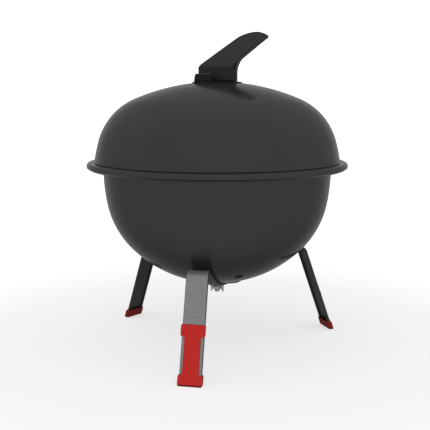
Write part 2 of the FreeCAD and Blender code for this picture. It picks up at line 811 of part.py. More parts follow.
# Handle screws with their spacers and washers.
spacer_bottom = "(lid_top - 0.08)"
washer_bottom = "(lid_washer_top - washer_thickness)"
head_bottom = f"{washer_bottom} - screw_head_height"
shank_length = f"handle_bottom + screw_reach - 0.5 - {washer_bottom}"
spacer_height = f"handle_bottom - {spacer_bottom}"
screws, spacers, washers = [], [], []
for number, x in enumerate(("screw_circle", "-screw_circle"), start=1):
    head_size = ("screw_head_radius", "screw_head_height")
    screw = doc.addObject("Part::Fuse", f"handle_screw_{number}")
    screw.Base = cylinder(f"screw_head_{number}", *head_size, x, "0", head_bottom)
    screw.Tool = cylinder(
        f"screw_shank_{number}", "screw_radius", shank_length, x, "0", washer_bottom
    )
    screws.append(screw)
    spacer_size = ("spacer_radius", "screw_clearance", spacer_height)
    spacers.append(tube(f"spacer_{number}", *spacer_size, x, "0", spacer_bottom))
    washer_size = ("lid_washer_radius", "screw_clearance", "washer_thickness")
    washers.append(tube(f"lid_washer_{number}", *washer_size, x, "0", washer_bottom))
group("handle_screws", screws)
group("handle_spacers", spacers)
group("handle_washers", washers)


def make_grate(prefix, z, ring, brace_offset, rod_count):
    """Welded wire grate: a ring with two braces in its plane and rods across the top."""
    torus = doc.addObject("Part::Torus", f"{prefix}_ring")
    bind(torus, "Radius1", f"1 mm * {ring}")
    bind(torus, "Radius2", "1 mm * ring_wire")
    place(torus, z=value(z))
    node(torus, f"{prefix}_ring")
    braces = []
    half_brace = f"sqrt({ring} ^ 2 - {brace_offset} ^ 2)"
    for sign in ("", "-"):
        name = f"{prefix}_brace_{len(braces) + 1}"
        y = f"{sign}{brace_offset}"
        braces.append(
            cylinder(name, "ring_wire", f"2 * {half_brace}", f"-{half_brace}", y, z, lying=True)
        )
    group(f"{prefix}_braces", braces)
    rods = []
    rod_z = f"{z} + ring_wire + rod_wire - weld_sink"
    for k in range(rod_count):
        x = f"({k - (rod_count - 1) // 2} * rod_pitch)"
        half = f"(sqrt({ring} ^ 2 - {x} ^ 2) + 1)"
        name = f"{prefix}_rod_{k + 1}"
        rods.append(cylinder(name, "rod_wire", f"2 * {half}", x, f"-{half}", rod_z, 90.0, True))
    group(f"{prefix}_rods", rods)


make_grate("cooking_grate", "grate_z", "grate_ring", "brace_offset", COOKING_ROD_COUNT)
make_grate("charcoal_grate", "coal_z", "coal_ring", "coal_brace_offset", COAL_ROD_COUNT)

# Grips: a wire hoop on the outermost rod at each side of the cooking grate.
grip_bottom = "(grate_z + ring_wire + 2 * rod_wire - 3 * weld_sink)"
for side, grip_yaw in (("right", 0.0), ("left", 180.0)):
    grip = new_body(f"cooking_grate_{side}_grip")
    path = new_sketch(grip, "path", "YZ_Plane", "grip_x")
    half, bend = "grip_half_span", "grip_bend"
    stops = [
        (f"-{half}", grip_bottom),
        (f"-{half}", f"grip_top - {bend}"),
        (f"{bend} - {half}", "grip_top"),
        (f"{half} - {bend}", "grip_top"),
        (half, f"grip_top - {bend}"),
        (half, grip_bottom),
    ]
    points = [FreeCAD.Vector(value(x), value(y), 0) for x, y in stops]
    path.addGeometry(Part.LineSegment(points[0], points[1]), False)
    for index, sign, first, last in ((1, -1, 90, 180), (3, 1, 0, 90)):
        middle = FreeCAD.Vector(sign * value(f"{half} - {bend}"), value(f"grip_top - {bend}"), 0)
        circle = Part.Circle(middle, FreeCAD.Vector(0, 0, 1), value(bend))
        turn = Part.ArcOfCircle(circle, math.radians(first), math.radians(last))
        path.addGeometry(turn, False)
        path.addGeometry(Part.LineSegment(points[index + 1], points[index + 2]), False)
    joins = ((0, 2, 1, 2), (1, 1, 2, 1), (2, 2, 3, 2), (3, 1, 4, 1))
    for join in joins:
        path.addConstraint(Sketcher.Constraint("Coincident", *join))
    constrain(path, "Radius", (1,), bend)
    constrain(path, "Radius", (3,), bend)
    for (edge, end), (x, y) in zip(((0, 1), (0, 2), (2, 1), (2, 2), (4, 1), (4, 2)), stops):
        pin_point(path, edge, end, x, y)
    section = new_sketch(grip, "wire", "XY_Plane", grip_bottom)
    add_circle(section, "grip_x", "-grip_half_span", "rod_wire")
    pipe = grip.newObject("PartDesign::AdditivePipe", f"{grip.Name}_pipe")
    pipe.Profile = section
    pipe.Spine = path
    place(grip, yaw=grip_yaw)

doc.recompute()
for item in doc.Objects:
    if "Invalid" in item.State or "Error" in item.State:
        raise RuntimeError(f"{item.Name} ({item.Label}) failed: {item.State}")
for item in NODES:
    if item.Shape.isNull() or not item.Shape.isValid():
        raise RuntimeError(f"{item.Label} has no valid shape")

os.makedirs("parts", exist_ok=True)
for item in NODES:
    item.Shape.exportStep(f"parts/{item.Label}.step")
    box = item.Shape.BoundBox
    print(
        f"{item.Label:28s} solids {len(item.Shape.Solids)} volume {item.Shape.Volume:10.1f}"
        f" x {box.XMin:.1f} {box.XMax:.1f} y {box.YMin:.1f} {box.YMax:.1f}"
        f" z {box.ZMin:.1f} {box.ZMax:.1f}"
    )
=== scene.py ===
"""Looks of the kettle charcoal grill: meshes, materials, studio and camera, in metres."""

import math

import bpy
import numpy as np
from mathutils import Matrix, Vector


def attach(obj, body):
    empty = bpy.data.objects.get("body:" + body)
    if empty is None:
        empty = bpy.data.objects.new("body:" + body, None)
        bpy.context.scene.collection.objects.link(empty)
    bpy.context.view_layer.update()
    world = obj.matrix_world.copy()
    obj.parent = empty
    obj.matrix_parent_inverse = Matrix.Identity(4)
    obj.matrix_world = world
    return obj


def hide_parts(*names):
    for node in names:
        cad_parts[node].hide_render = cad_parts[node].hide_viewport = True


MM = 0.001
ROUND = 192

# Sizes in millimetres and angles in degrees, the same as the CAD source's.
SHEET = 1.2
RIM_Z, RIM_R, RIM_CORNER = 272.3, 189.0, 4.0
STEP_R, STEP_H = 175.5, 5.0
BOWL_BOTTOM = 93.5
BOWL_RADII, BOWL_ANGLES = (177.0, 127.0, 276.0), (-43.66, -10.34)
BOWL_VENT_R, BOWL_VENT_CIRCLE, BOWL_VENT_YAWS = 6.5, 91.0, (60.0, 180.0, 300.0)
LID_TOP, LID_GAP = 386.7, 0.3
LID_RADII, LID_ANGLES = (303.6, 92.0, 288.0), (66.88, 15.32)
LID_VENT_R, LID_VENT_CIRCLE, LID_VENT_YAWS = 6.0, 24.0, (90.0, 210.0, 330.0)
SCREW_CIRCLE, SCREW_CLEAR, NECK_HOLE = 11.0, 2.7, 4.2
DAMPER_R, DAMPER_HUB, DAMPER_YAW, DAMPER_GAP = 36.5, 3.0, -30.0, 0.3
SLOT_HALF, SLOT_ANGLE = 4.3, 53.0
TAB_DISTANCE, TAB_BASE, TAB_TIP, TAB_TOP = 32.0, 34.0, 29.5, 397.5
LEG_YAWS = {"front": -90.0, "right": 30.0, "left": 150.0}
LEG_WIDTH, LEG_SHEET, LEG_DEPTH, LEG_ANGLE, LEG_REACH = 30.0, 2.0, 4.5, 20.0, 190.0
BEND_R, BEND_TOP, ARM_GAP = 12.5, 138.0, 0.4
TAB_IN, TAB_OUT, RAMP_END, RAIL_START = -14.0, 24.0, 46.0, 50.0
STACK_TOP, STACK_PITCH = 93.4, 2.05
FOOT_WALL, FOOT_H, FOOT_FLOOR, WEB_W = 1.5, 13.4, 1.5, 21.5
CUFF_LOW, CUFF_HIGH, CUFF_LIP = 59.3, 74.1, 1.6
CUFF_WIDTH, BACK_CUFF_WIDTH = 33.0, 21.5
HANDLE_LOW, HANDLE_HALF, HANDLE_CORNER, HANDLE_TAPER = 388.6, 15.0, 8.0, 8.5
BLOCK_LEFT, BLOCK_RIGHT, BLOCK_TOP, THROAT_LOW = -26.2, 28.8, 407.5, 402.0
THROAT, HEEL, TIP = (36.5, 419.8), (70.2, 445.9), (73.0, 450.5)
PEAK, CREST = (57.8, 455.5), (29.4, 446.9)
THROAT_R, TIP_R, BROW_R, CREST_R = 24.0, 3.6, 34.0, 60.0
NUT_TOP, NUT_BORE, NUT_HUB_R, NUT_HUB_H = 85.75, 4.05, 7.0, 6.5
GRATE_Z, GRATE_RING, RING_WIRE, ROD_WIRE, ROD_PITCH, WELD = 252.0, 157.5, 2.5, 2.0, 15.0, 0.2
COAL_Z, COAL_RING = 150.9, 125.0
GRIP_X, GRIP_HALF, GRIP_TOP, GRIP_BEND = 150.0, 32.0, 284.0, 9.0

# Sizes that only the visible meshes have.  The lip's edge is turned in by HEM_W between two
# heights below the rim's top.  The damper's tab starts under the disc and has a bend and round
# corners.  The handle's underside follows the damper's dish at UNDER_GAP, and its block widens
# upwards by HANDLE_DRAFT degrees.  The feet are painted dark below SOLE_H, as painted shade
# along their bottom.
HEM_W, HEM_TOP, HEM_LOW = 4.5, 7.2, 10.2
TAB_ROOT, TAB_BEND, TAB_CORNER = 6.0, 2.2, 3.0
UNDER_GAP, HANDLE_DRAFT = 0.15, 2.5
SOLE_H = 2.2

# Heights between which holes are cut.
VENT_CUT, NECK_CUT, CROWN_CUT = (90.0, 150.0), (85.0, 100.0), (370.0, 400.0)

# Angles round a wire's domed end, from its full section to its tip.
DOME = (0.0, 12.0, 35.0, 60.0)

# Studio.  The surroundings' brightness goes by the cosine of the angle to WORLD_AIM, in stops of
# (cosine, level), and is dimmed away from WORLD_UNDER: cosines from and to, shares from and to.
WORLD_AIM, WORLD_UNDER = (0.177, -0.923, 0.342), (0.133, -0.694, 0.707)
WORLD_STOPS = (
    (-1.0, 0.70), (-0.96, 0.50), (-0.88, 0.42), (-0.7, 0.30), (-0.6, 0.27), (-0.5, 0.31),
    (-0.35, 0.38), (-0.2, 0.45), (0.05, 0.59), (0.2, 0.67), (0.4, 0.70), (0.77, 0.76),
    (1.0, 0.80),
)
WORLD_DIM = (-0.97, -0.60, 0.45, 1.0)

# Paper round the grill, in metres: its wall, its bend and how far it lies under the feet.  Its
# glow is the strength near the grill and far from it.
PAPER_R, PAPER_BEND, FLOOR_DROP = 9.0, 2.5, 0.0002
PAPER_TONE, PAPER_GLOW = 0.48, (0.64, 1.05)

# Camera, in metres and degrees, from the fit to the photo.
CAMERA_AT, CAMERA_LENS, CAMERA_SENSOR = (0.19788, -1.04816, 0.36384), 60.9, 36.0
CAMERA_PITCH, CAMERA_HEADING = -9.17, (-0.18842, 0.98209)


# ---------------------------------------------------------------- plane geometry

def polar(centre, radius, angle):
    """Point at an angle in degrees on a circle."""
    a = math.radians(angle)
    return centre[0] + radius * math.cos(a), centre[1] + radius * math.sin(a)


def arc(centre, radius, first, last, step=2.0):
    """Points of an arc, both ends among them, at most step degrees apart."""
    count = max(2, math.ceil(abs(last - first) / step))
    return [polar(centre, radius, first + (last - first) * k / count) for k in range(count + 1)]


def chain(radii, angles, centre_z):
    """Centres of arcs that are tangent to one another at the given angles."""
    centres = [(0.0, centre_z)]
    for k, angle in enumerate(angles):
        centres.append(polar(centres[k], radii[k] - radii[k + 1], angle))
    return centres


def fillet(points, steps=5):
    """Closed outline with its corners rounded; points are (x, z, radius).

    A point is held close to both ends of each arc, so that the straight sides shade flat.
    """
    out = []
    for i, (x, z, radius) in enumerate(points):
        here = Vector((x, z))
        if not radius:
            out.append((x, z))
            continue
        before = Vector(points[i - 1][:2]) - here
        after = Vector(points[(i + 1) % len(points)][:2]) - here
        a, b = before.normalized(), after.normalized()
        half = a.angle(b) / 2
        reach = radius / math.tan(half)
        centre = here + (a + b).normalized() * (radius / math.sin(half))
        start, end = here + a * reach - centre, here + b * reach - centre
        turn = start.angle_signed(end)
        hold = min(0.15, 0.2 * radius + 0.02)
        if before.length > reach + 2 * hold:
            out.append(tuple(here + a * (reach + hold)))
        for k in range(steps + 1):
            swing = Matrix.Rotation(-turn * k / steps, 2)
            out.append(tuple(centre + swing @ start))
        if after.length > reach + 2 * hold:
            out.append(tuple(here + b * (reach + hold)))
    return out


def ease(share):
    """Smooth step from 0 to 1."""
    return share * share * (3 - 2 * share)


def arc_through(first, last, radius, side, count=10):
    """Points between first and last on an arc that bulges to the side (+1 left, -1 right)."""
    a, b = Vector(first), Vector(last)
    half = (b - a).length / 2
    across = Vector((-(b - a).y, (b - a).x)).normalized() * side
    centre = (a + b) / 2 - across * math.sqrt(radius * radius - half * half)
    u, v = a - centre, b - centre
    turn = u.angle_signed(v)
    return [tuple(centre + Matrix.Rotation(-turn * k / count, 2) @ u) for k in range(1, count)]


# ---------------------------------------------------------------- mesh building

def make(name, vertices, faces, normals=None):
    """Object from points in millimetres."""
    mesh = bpy.data.meshes.new(name)
    points = np.asarray(vertices, float) * MM
    mesh.from_pydata(points.tolist(), [], [list(map(int, f)) for f in faces])
    mesh.update()
    mesh.shade_smooth()
    if normals is not None:
        mesh.normals_split_custom_set_from_vertices([tuple(n) for n in normals])
    obj = bpy.data.objects.new(name, mesh)
    bpy.context.scene.collection.objects.link(obj)
    return obj


def turn_to(obj, yaw):
    """Turn a mesh about the Z axis."""
    obj.data.transform(Matrix.Rotation(math.radians(yaw), 4, "Z"))


def mark(obj, name, amounts):
    """Store a number for each vertex, for the materials to use."""
    attribute = obj.data.attributes.new(name, "FLOAT", "POINT")
    attribute.data.foreach_set("value", np.asarray(amounts, float))


def outward(vertices, faces):
    """Turn all faces round if the closed mesh is inside out."""
    v = np.asarray(vertices, float)
    volume = 0.0
    for f in faces:
        for k in range(1, len(f) - 1):
            volume += np.dot(v[f[0]], np.cross(v[f[k]], v[f[k + 1]]))
    return faces if volume > 0 else [tuple(reversed(f)) for f in faces]


def revolved(profile, count=ROUND):
    """Vertices and faces of a closed profile of (r, z) turned about the Z axis."""
    vertices, rows = [], []
    for r, z in profile:
        if r < 1e-6:
            rows.append([len(vertices)] * count)
            vertices.append((0.0, 0.0, z))
        else:
            rows.append(list(range(len(vertices), len(vertices) + count)))
            for k in range(count):
                a = 2 * math.pi * k / count
                vertices.append((r * math.cos(a), r * math.sin(a), z))
    faces = []
    for i, row in enumerate(rows):
        following = rows[(i + 1) % len(rows)]
        if row[0] == row[1] and following[0] == following[1]:
            continue
        for k in range(count):
            quad = [row[k], row[(k + 1) % count], following[(k + 1) % count], following[k]]
            faces.append(tuple(dict.fromkeys(quad)))
    return vertices, outward(vertices, faces)


def swept(stations, closed=False):
    """Vertices and faces of a tube through stations, each a closed loop of 3-D points."""
    count = len(stations[0])
    vertices = [p for station in stations for p in station]
    faces = []
    last = len(stations) if closed else len(stations) - 1
    for i in range(last):
        a, b = i * count, ((i + 1) % len(stations)) * count
        for k in range(count):
            n = (k + 1) % count
            faces.append((a + k, a + n, b + n, b + k))
    if not closed:
        for station, flip in ((0, True), (len(stations) - 1, False)):
            middle = len(vertices)
            vertices.append(tuple(np.mean(np.asarray(stations[station]), axis=0)))
            base = station * count
            for k in range(count):
                pair = (base + k, base + (k + 1) % count)
                faces.append((middle, pair[1], pair[0]) if flip else (middle, *pair))
    return vertices, outward(vertices, faces)


def wire(points, radius, sides=14, closed=False, domed=True, across=None):
    """Round wire along points, with domed ends where it is open and domed.

    Its sections start from the direction across, where that is given.
    """
    p = [Vector(q) for q in points]
    n = len(p)
    tangents = []
    for i in range(n):
        before = p[i - 1] if (i or closed) else p[i]
        after = p[(i + 1) % n] if (i < n - 1 or closed) else p[i]
        tangents.append((after - before).normalized())
    up = Vector((0, 0, 1))
    turns = [2 * math.pi * k / sides for k in range(sides)]

    def ring(centre, tangent, r):
        side = tangent.cross(up).normalized() if across is None else across
        top = side.cross(tangent)
        return [tuple(centre + r * (side * math.cos(t) + top * math.sin(t))) for t in turns]

    stops = [(centre, tangent, radius) for centre, tangent in zip(p, tangents)]
    if domed and not closed:
        angles = [math.radians(angle) for angle in DOME]
        dome = [(radius * (1 - math.sin(a)), radius * math.cos(a)) for a in angles]
        first = [(p[0] + tangents[0] * back, tangents[0], r) for back, r in reversed(dome)]
        last = [(p[-1] - tangents[-1] * back, tangents[-1], r) for back, r in dome]
        stops = first + stops[1:-1] + last
    return swept([ring(*stop) for stop in stops], closed)


def merged(parts):
    """One list of vertices and faces from several."""
    vertices, faces = [], []
    for v, f in parts:
        base = len(vertices)
        vertices += list(v)
        faces += [tuple(base + i for i in face) for face in f]
    return vertices, faces


def prism(outline, low, high):
    """Upright prism on a closed outline of (x, y)."""
    return swept([[(x, y, low) for x, y in outline], [(x, y, high) for x, y in outline]])


def circle(x, y, radius, count=64):
    """Closed outline of a round hole."""
    return [polar((x, y), radius, 360.0 * k / count) for k in range(count)]


def cut_and_shade(obj, cutters, profile):
    """Cut holes in a turned mesh and give its skin the turned profile's own normals."""
    tool = make(f"{obj.name}_tool", *merged(cutters))
    modifier = obj.modifiers.new("holes", "BOOLEAN")
    modifier.object = tool
    modifier.operation = "DIFFERENCE"
    modifier.solver = "EXACT"
    bpy.context.view_layer.update()
    evaluated = obj.evaluated_get(bpy.context.evaluated_depsgraph_get())
    mesh = bpy.data.meshes.new_from_object(evaluated)
    obj.modifiers.clear()
    obj.data = mesh
    bpy.data.objects.remove(tool)
    shade_by_profile(obj, profile)
    return obj


def shade_by_profile(obj, profile):
    """Smooth normals worked out from the turned profile; walls of cut holes keep their own."""
    mesh = obj.data
    line = np.array(profile) * MM
    following = np.roll(line, -1, axis=0)
    along = following - line
    length = np.linalg.norm(along, axis=1)
    normal = np.column_stack([along[:, 1], -along[:, 0]]) / np.maximum(length, 1e-12)[:, None]
    area = np.sum(line[:, 0] * following[:, 1] - following[:, 0] * line[:, 1])
    if area < 0:
        normal = -normal
    corner = normal + np.roll(normal, 1, axis=0)
    corner /= np.linalg.norm(corner, axis=1)[:, None]
    corner_next = np.roll(corner, -1, axis=0)
    count = len(mesh.vertices)
    points = np.empty(count * 3)
    mesh.vertices.foreach_get("co", points)
    points = points.reshape(-1, 3)
    r = np.hypot(points[:, 0], points[:, 1])
    flat = np.column_stack([r, points[:, 2]])
    best = np.full(count, np.inf)
    found = np.zeros((count, 2))
    for k in range(len(line)):
        if length[k] < 1e-9:
            continue
        t = np.clip(((flat - line[k]) @ along[k]) / length[k] ** 2, 0, 1)
        gap = np.linalg.norm(flat - line[k] - t[:, None] * along[k], axis=1)
        nearer = gap < best
        best[nearer] = gap[nearer]
        blend = corner[k] * (1 - t[:, None]) + corner_next[k] * t[:, None]
        found[nearer] = blend[nearer]
    safe = np.maximum(r, 1e-9)
    smooth = np.column_stack(
        [found[:, 0] * points[:, 0] / safe, found[:, 0] * points[:, 1] / safe, found[:, 1]]
    )
    smooth /= np.maximum(np.linalg.norm(smooth, axis=1), 1e-9)[:, None]
    loops = []
    for polygon in mesh.polygons:
        own = np.array(polygon.normal)
        for index in polygon.loop_indices:
            n = smooth[mesh.loops[index].vertex_index]
            loops.append(tuple(n if np.dot(n, own) > 0.8 else own))
    mesh.shade_smooth()
    mesh.normals_split_custom_set(loops)


def net(distance, low, high, step):
    """Smooth closed mesh of the zero level of a distance function, with its own normals."""
    low, high = np.array(low, float), np.array(high, float)
    n = np.ceil((high - low) / step).astype(int) + 1
    axes = [low[k] + step * np.arange(n[k]) for k in range(3)]
    grid = np.stack(np.meshgrid(*axes, indexing="ij"), axis=-1)
    field = distance(grid.reshape(-1, 3)).reshape(n)
    inside = field < 0
    cells = n - 1
    total = np.zeros((*cells, 3))
    hits = np.zeros(cells)
    for axis in range(3):
        a = [slice(None)] * 3
        b = [slice(None)] * 3
        a[axis], b[axis] = slice(0, -1), slice(1, None)
        fa, fb = field[tuple(a)], field[tuple(b)]
        crossing = (fa < 0) != (fb < 0)
        share = np.where(crossing, fa / np.where(crossing, fa - fb, 1.0), 0.0)
        place = grid[tuple(a)].copy()
        place[..., axis] += share * step
        others = [k for k in range(3) if k != axis]
        for i in (0, 1):
            for j in (0, 1):
                part = [slice(None)] * 3
                part[others[0]] = slice(i, i + cells[others[0]])
                part[others[1]] = slice(j, j + cells[others[1]])
                mask = crossing[tuple(part)]
                total += np.where(mask[..., None], place[tuple(part)], 0.0)
                hits += mask
    active = hits > 0
    number = np.full(cells, -1)
    number[active] = np.arange(active.sum())
    points = total[active] / hits[active][:, None]
    faces = []
    for axis in range(3):
        u, v = [k for k in range(3) if k != axis]
        a = [slice(1, -1)] * 3
        a[axis] = slice(0, -1)
        b = [slice(1, -1)] * 3
        b[axis] = slice(1, None)
        first, second = inside[tuple(a)], inside[tuple(b)]
        where = np.argwhere(first != second)
        at = where.copy()
        at[:, u] += 1
        at[:, v] += 1
        quads = []
        for du, dv in ((0, 0), (1, 0), (1, 1), (0, 1)):
            cell = at.copy()
            cell[:, u] -= du
            cell[:, v] -= dv
            quads.append(number[cell[:, 0], cell[:, 1], cell[:, 2]])
        quads = np.stack(quads, axis=1)
        flip = first[tuple(where.T)]
        if axis == 1:
            flip = ~flip
        quads[flip] = quads[flip][:, ::-1]
        faces.append(quads)
    faces = np.concatenate(faces)

    def slope(p):
        h = 0.05
        shifts = [np.eye(3)[k] * h for k in range(3)]
        return np.stack([(distance(p + s) - distance(p - s)) / (2 * h) for s in shifts], axis=1)

    for _ in range(3):
        g = slope(points)
        points = points - distance(points)[:, None] * g / np.maximum((g * g).sum(1), 0.05)[:, None]
    g = slope(points)
    g /= np.maximum(np.linalg.norm(g, axis=1), 1e-6)[:, None]
    return points, outward(points, faces.tolist()), g


def polygon_distance(outline):
    """Signed distance to a closed outline, as a function of an array of (x, z)."""
    a = np.array(outline)
    b = np.roll(a, -1, axis=0)

    def distance(p):
        best = np.full(len(p), 1e9)
        inside = np.zeros(len(p), bool)
        for (ax, ay), (bx, by) in zip(a, b):
            ex, ey = bx - ax, by - ay
            wx, wy = p[:, 0] - ax, p[:, 1] - ay
            t = np.clip((wx * ex + wy * ey) / (ex * ex + ey * ey), 0, 1)
            best = np.minimum(best, (wx - ex * t) ** 2 + (wy - ey * t) ** 2)
            span = (ay <= p[:, 1]) != (by <= p[:, 1])
            if abs(ey) > 1e-12:
                inside ^= span & (wx < ex * wy / ey)
        return np.where(inside, -1, 1) * np.sqrt(best)

    return distance


def both(a, b, radius):
    """Intersection of two distances with an edge of a given radius."""
    u, v = a + radius, b + radius
    outer = np.hypot(np.maximum(u, 0), np.maximum(v, 0))
    return outer + np.minimum(np.maximum(u, v), 0) - radius


def either(a, b, radius):
    """Union of two distances with a hollow fillet."""
    return -both(-a, -b, radius)


# ---------------------------------------------------------------- materials

class Nodes:
    """Small helper that adds nodes and links to a material."""

    def __init__(self, name):
        self.material = bpy.data.materials.new(name)
        self.material.use_nodes = True
        self.tree = self.material.node_tree
        self.shader = self.tree.nodes["Principled BSDF"]
        self.place = self.tree.nodes.new("ShaderNodeTexCoord")

    def add(self, kind, inputs=None, **settings):
        item = self.tree.nodes.new(kind)
        for key, setting in settings.items():
            setattr(item, key, setting)
        for key, content in (inputs or {}).items():
            self.feed(item.inputs[key], content)
        return item

    def feed(self, socket, content):
        if isinstance(content, bpy.types.NodeSocket):
            self.tree.links.new(content, socket)
        else:
            socket.default_value = content

    def set(self, **inputs):
        for key, content in inputs.items():
            self.feed(self.shader.inputs[key.replace("_", " ")], content)

    def noise(self, scale, detail=3.0, rough=0.55, stretch=None):
        source = self.place.outputs["Object"]
        if stretch:
            mapping = self.add("ShaderNodeMapping", {"Vector": source, "Scale": stretch})
            source = mapping.outputs["Vector"]
        inputs = {"Vector": source, "Scale": scale, "Detail": detail, "Roughness": rough}
        return self.add("ShaderNodeTexNoise", inputs).outputs["Fac"]

    def spread(self, factor, low, high, start=0.3, end=0.7):
        limits = {"From Min": start, "From Max": end, "To Min": low, "To Max": high}
        return self.add("ShaderNodeMapRange", {"Value": factor, **limits}).outputs["Result"]

    def colours(self, factor, dark, light, start=0.3, end=0.7):
        ramp = self.add("ShaderNodeValToRGB", {"Fac": factor})
        ramp.color_ramp.elements[0].position = start
        ramp.color_ramp.elements[1].position = end
        ramp.color_ramp.elements[0].color = (*dark, 1)
        ramp.color_ramp.elements[1].color = (*light, 1)
        return ramp.outputs["Color"]

    def mix(self, factor, first, second):
        item = self.add("ShaderNodeMix", data_type="RGBA")
        for key, content in ((0, factor), (6, first), (7, second)):
            self.feed(item.inputs[key], content)
        return item.outputs[2]

    def mark(self, name):
        """A number that the mesh holds for each vertex."""
        return self.add("ShaderNodeAttribute", attribute_name=name).outputs["Fac"]

    def bump(self, height, strength, distance, under=None):
        inputs = {"Height": height, "Strength": strength, "Distance": distance}
        if under is not None:
            inputs["Normal"] = under
        return self.add("ShaderNodeBump", inputs).outputs["Normal"]


def enamel(name, tone):
    """Glossy enamel with a faint ripple; its own glow is painted light that lifts its shaded
    blacks.
    """
    m = Nodes(name)
    flow = m.noise(9.0, 2.0)
    peel = m.noise(160.0, 2.0, 0.5)
    grain = m.noise(1400.0, 2.0, 0.5)
    low, high = [tuple(c * k for c in tone) for k in (0.85, 1.15)]
    m.set(
        Base_Color=m.colours(flow, low, high),
        Roughness=m.spread(flow, 0.18, 0.22),
        IOR=1.5,
        # The enamel's emission is painted light: a glow that lifts the shaded blacks.
        Emission_Color=(*tone, 1.0),
        Emission_Strength=0.55,
        Normal=m.bump(grain, 0.04, 0.0001, m.bump(peel, 0.05, 0.0004)),
    )
    return m.material


def steel_black(name):
    """Black sheet; where the rim mark is set, its edge is painted lighter and more specular as a
    painted highlight.
    """
    m = Nodes(name)
    flow, grain = m.noise(30.0), m.noise(900.0, 2.0)
    rim = m.mark("rim")
    sheet = m.colours(flow, (0.005, 0.005, 0.0055), (0.008, 0.008, 0.0085))
    # Painted highlight: the lighter tone on the edge that the rim mark picks out.
    painted_edge_highlight = m.colours(flow, (0.050, 0.050, 0.050), (0.075, 0.075, 0.074))
    m.set(
        Base_Color=m.mix(rim, sheet, painted_edge_highlight),
        Roughness=m.spread(flow, 0.28, 0.40),
        Specular_IOR_Level=m.spread(rim, 0.16, 0.5, 0.0, 1.0),
        Normal=m.bump(grain, 0.12, 0.0002),
    )
    return m.material


def nylon(name):
    """Matt moulding; the lever is painted lighter and more specular than the block under it, as
    painted light on its upturned face.
    """
    m = Nodes(name)
    flow, grain = m.noise(25.0, 2.0), m.noise(1500.0, 3.0, 0.6)
    lever = m.mark("lever")
    block = m.colours(flow, (0.0060, 0.0060, 0.0062), (0.0085, 0.0085, 0.0088))
    # Painted light: the smooth tone is the lever's lighter colour, standing for light on its
    # upturned face.
    smooth = m.colours(flow, (0.0100, 0.0100, 0.0103), (0.0135, 0.0135, 0.0138))
    m.set(
        Base_Color=m.mix(lever, block, smooth),
        Roughness=m.spread(grain, 0.42, 0.56),
        Specular_IOR_Level=m.spread(lever, 0.36, 0.52, 0.0, 1.0),
        Normal=m.bump(grain, 0.22, 0.0003),
    )
    return m.material


def leg_paint(name):
    """Satin grey paint on the strip's outer face; its turned rails and its back are painted dark
    as painted shade.
    """
    m = Nodes(name)
    flow, grain = m.noise(18.0, 2.0), m.noise(1300.0, 2.0)
    brushed = m.noise(60.0, 3.0, 0.5, (1.0, 14.0, 1.0))
    face = m.mark("face")
    light = m.colours(brushed, (0.245, 0.251, 0.248), (0.275, 0.282, 0.278))
    # Painted shade: the dark tone on the rails and the back, where the face mark is 0.
    dark = m.colours(flow, (0.017, 0.0175, 0.0175), (0.025, 0.0255, 0.0255))
    m.set(
        Base_Color=m.mix(face, dark, light),
        Metallic=m.spread(face, 0.0, 0.35, 0.0, 1.0),
        Roughness=m.spread(flow, 0.30, 0.40),
        Specular_IOR_Level=m.spread(face, 0.34, 0.5, 0.0, 1.0),
        Normal=m.bump(grain, 0.10, 0.0002),
    )
    return m.material


def boot_red(name):
    """Red moulding, dull and painted dark on the side that looks in under the bowl, at its turned
    edges and along its bottom, as painted shade.
    """
    m = Nodes(name)
    flow, grain = m.noise(22.0, 2.0), m.noise(1100.0, 3.0, 0.6)
    face = m.mark("face")
    light = m.colours(flow, (0.60, 0.016, 0.012), (0.66, 0.020, 0.015))
    # Painted shade: the dark red where the face mark is low.
    dark = m.colours(flow, (0.140, 0.010, 0.009), (0.180, 0.012, 0.011))
    m.set(
        Base_Color=m.mix(face, dark, light),
        Roughness=m.spread(grain, 0.36, 0.48),
        Specular_IOR_Level=m.spread(face, 0.08, 0.22, 0.0, 1.0),
        Normal=m.bump(grain, 0.12, 0.0002),
    )
    return m.material


def zinc(name):
    """Bright plating on small turned and cast pieces."""
    m = Nodes(name)
    flow, grain = m.noise(120.0, 3.0), m.noise(900.0, 3.0)
    m.set(
        Base_Color=m.colours(flow, (0.26, 0.26, 0.255), (0.46, 0.46, 0.45)),
        Metallic=1.0,
        Roughness=m.spread(flow, 0.16, 0.28),
        Normal=m.bump(grain, 0.10, 0.0001),
    )
    return m.material


def wire_metal(name, dark, light, low, high):
    """Metal wire between two tones and two roughnesses."""
    m = Nodes(name)
    flow, grain = m.noise(60.0, 3.0), m.noise(1200.0, 2.0)
    m.set(
        Base_Color=m.colours(flow, dark, light),
        Metallic=1.0,
        Roughness=m.spread(flow, low, high),
        Normal=m.bump(grain, 0.08, 0.0001),
    )
    return m.material


def paper(name, tone, glow):
    """White studio paper that glows a little, so that only soft shadows show on it."""
    m = Nodes(name)
    flow = m.noise(1.5, 2.0)
    length = m.add("ShaderNodeVectorMath", {0: m.place.outputs["Object"]}, operation="LENGTH")
    reach = length.outputs["Value"]
    m.set(
        Base_Color=m.colours(flow, (tone,) * 3, (tone + 0.02,) * 3),
        Roughness=0.9,
        Specular_IOR_Level=0.0,
        Emission_Color=(1.0, 1.0, 1.0, 1.0),
        Emission_Strength=m.spread(reach, *glow, 0.35, 1.3),
    )
    return m.material


def paint(obj, material):
    obj.data.materials.clear()
    obj.data.materials.append(material)


def dress(obj, body, material, slot, *nodes):
    """Give a made piece its material, its body and the CAD nodes that it stands for."""
    paint(obj, material)
    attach(obj, body)
    if nodes:
        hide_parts(*nodes)
    return obj


# ---------------------------------------------------------------- the grill

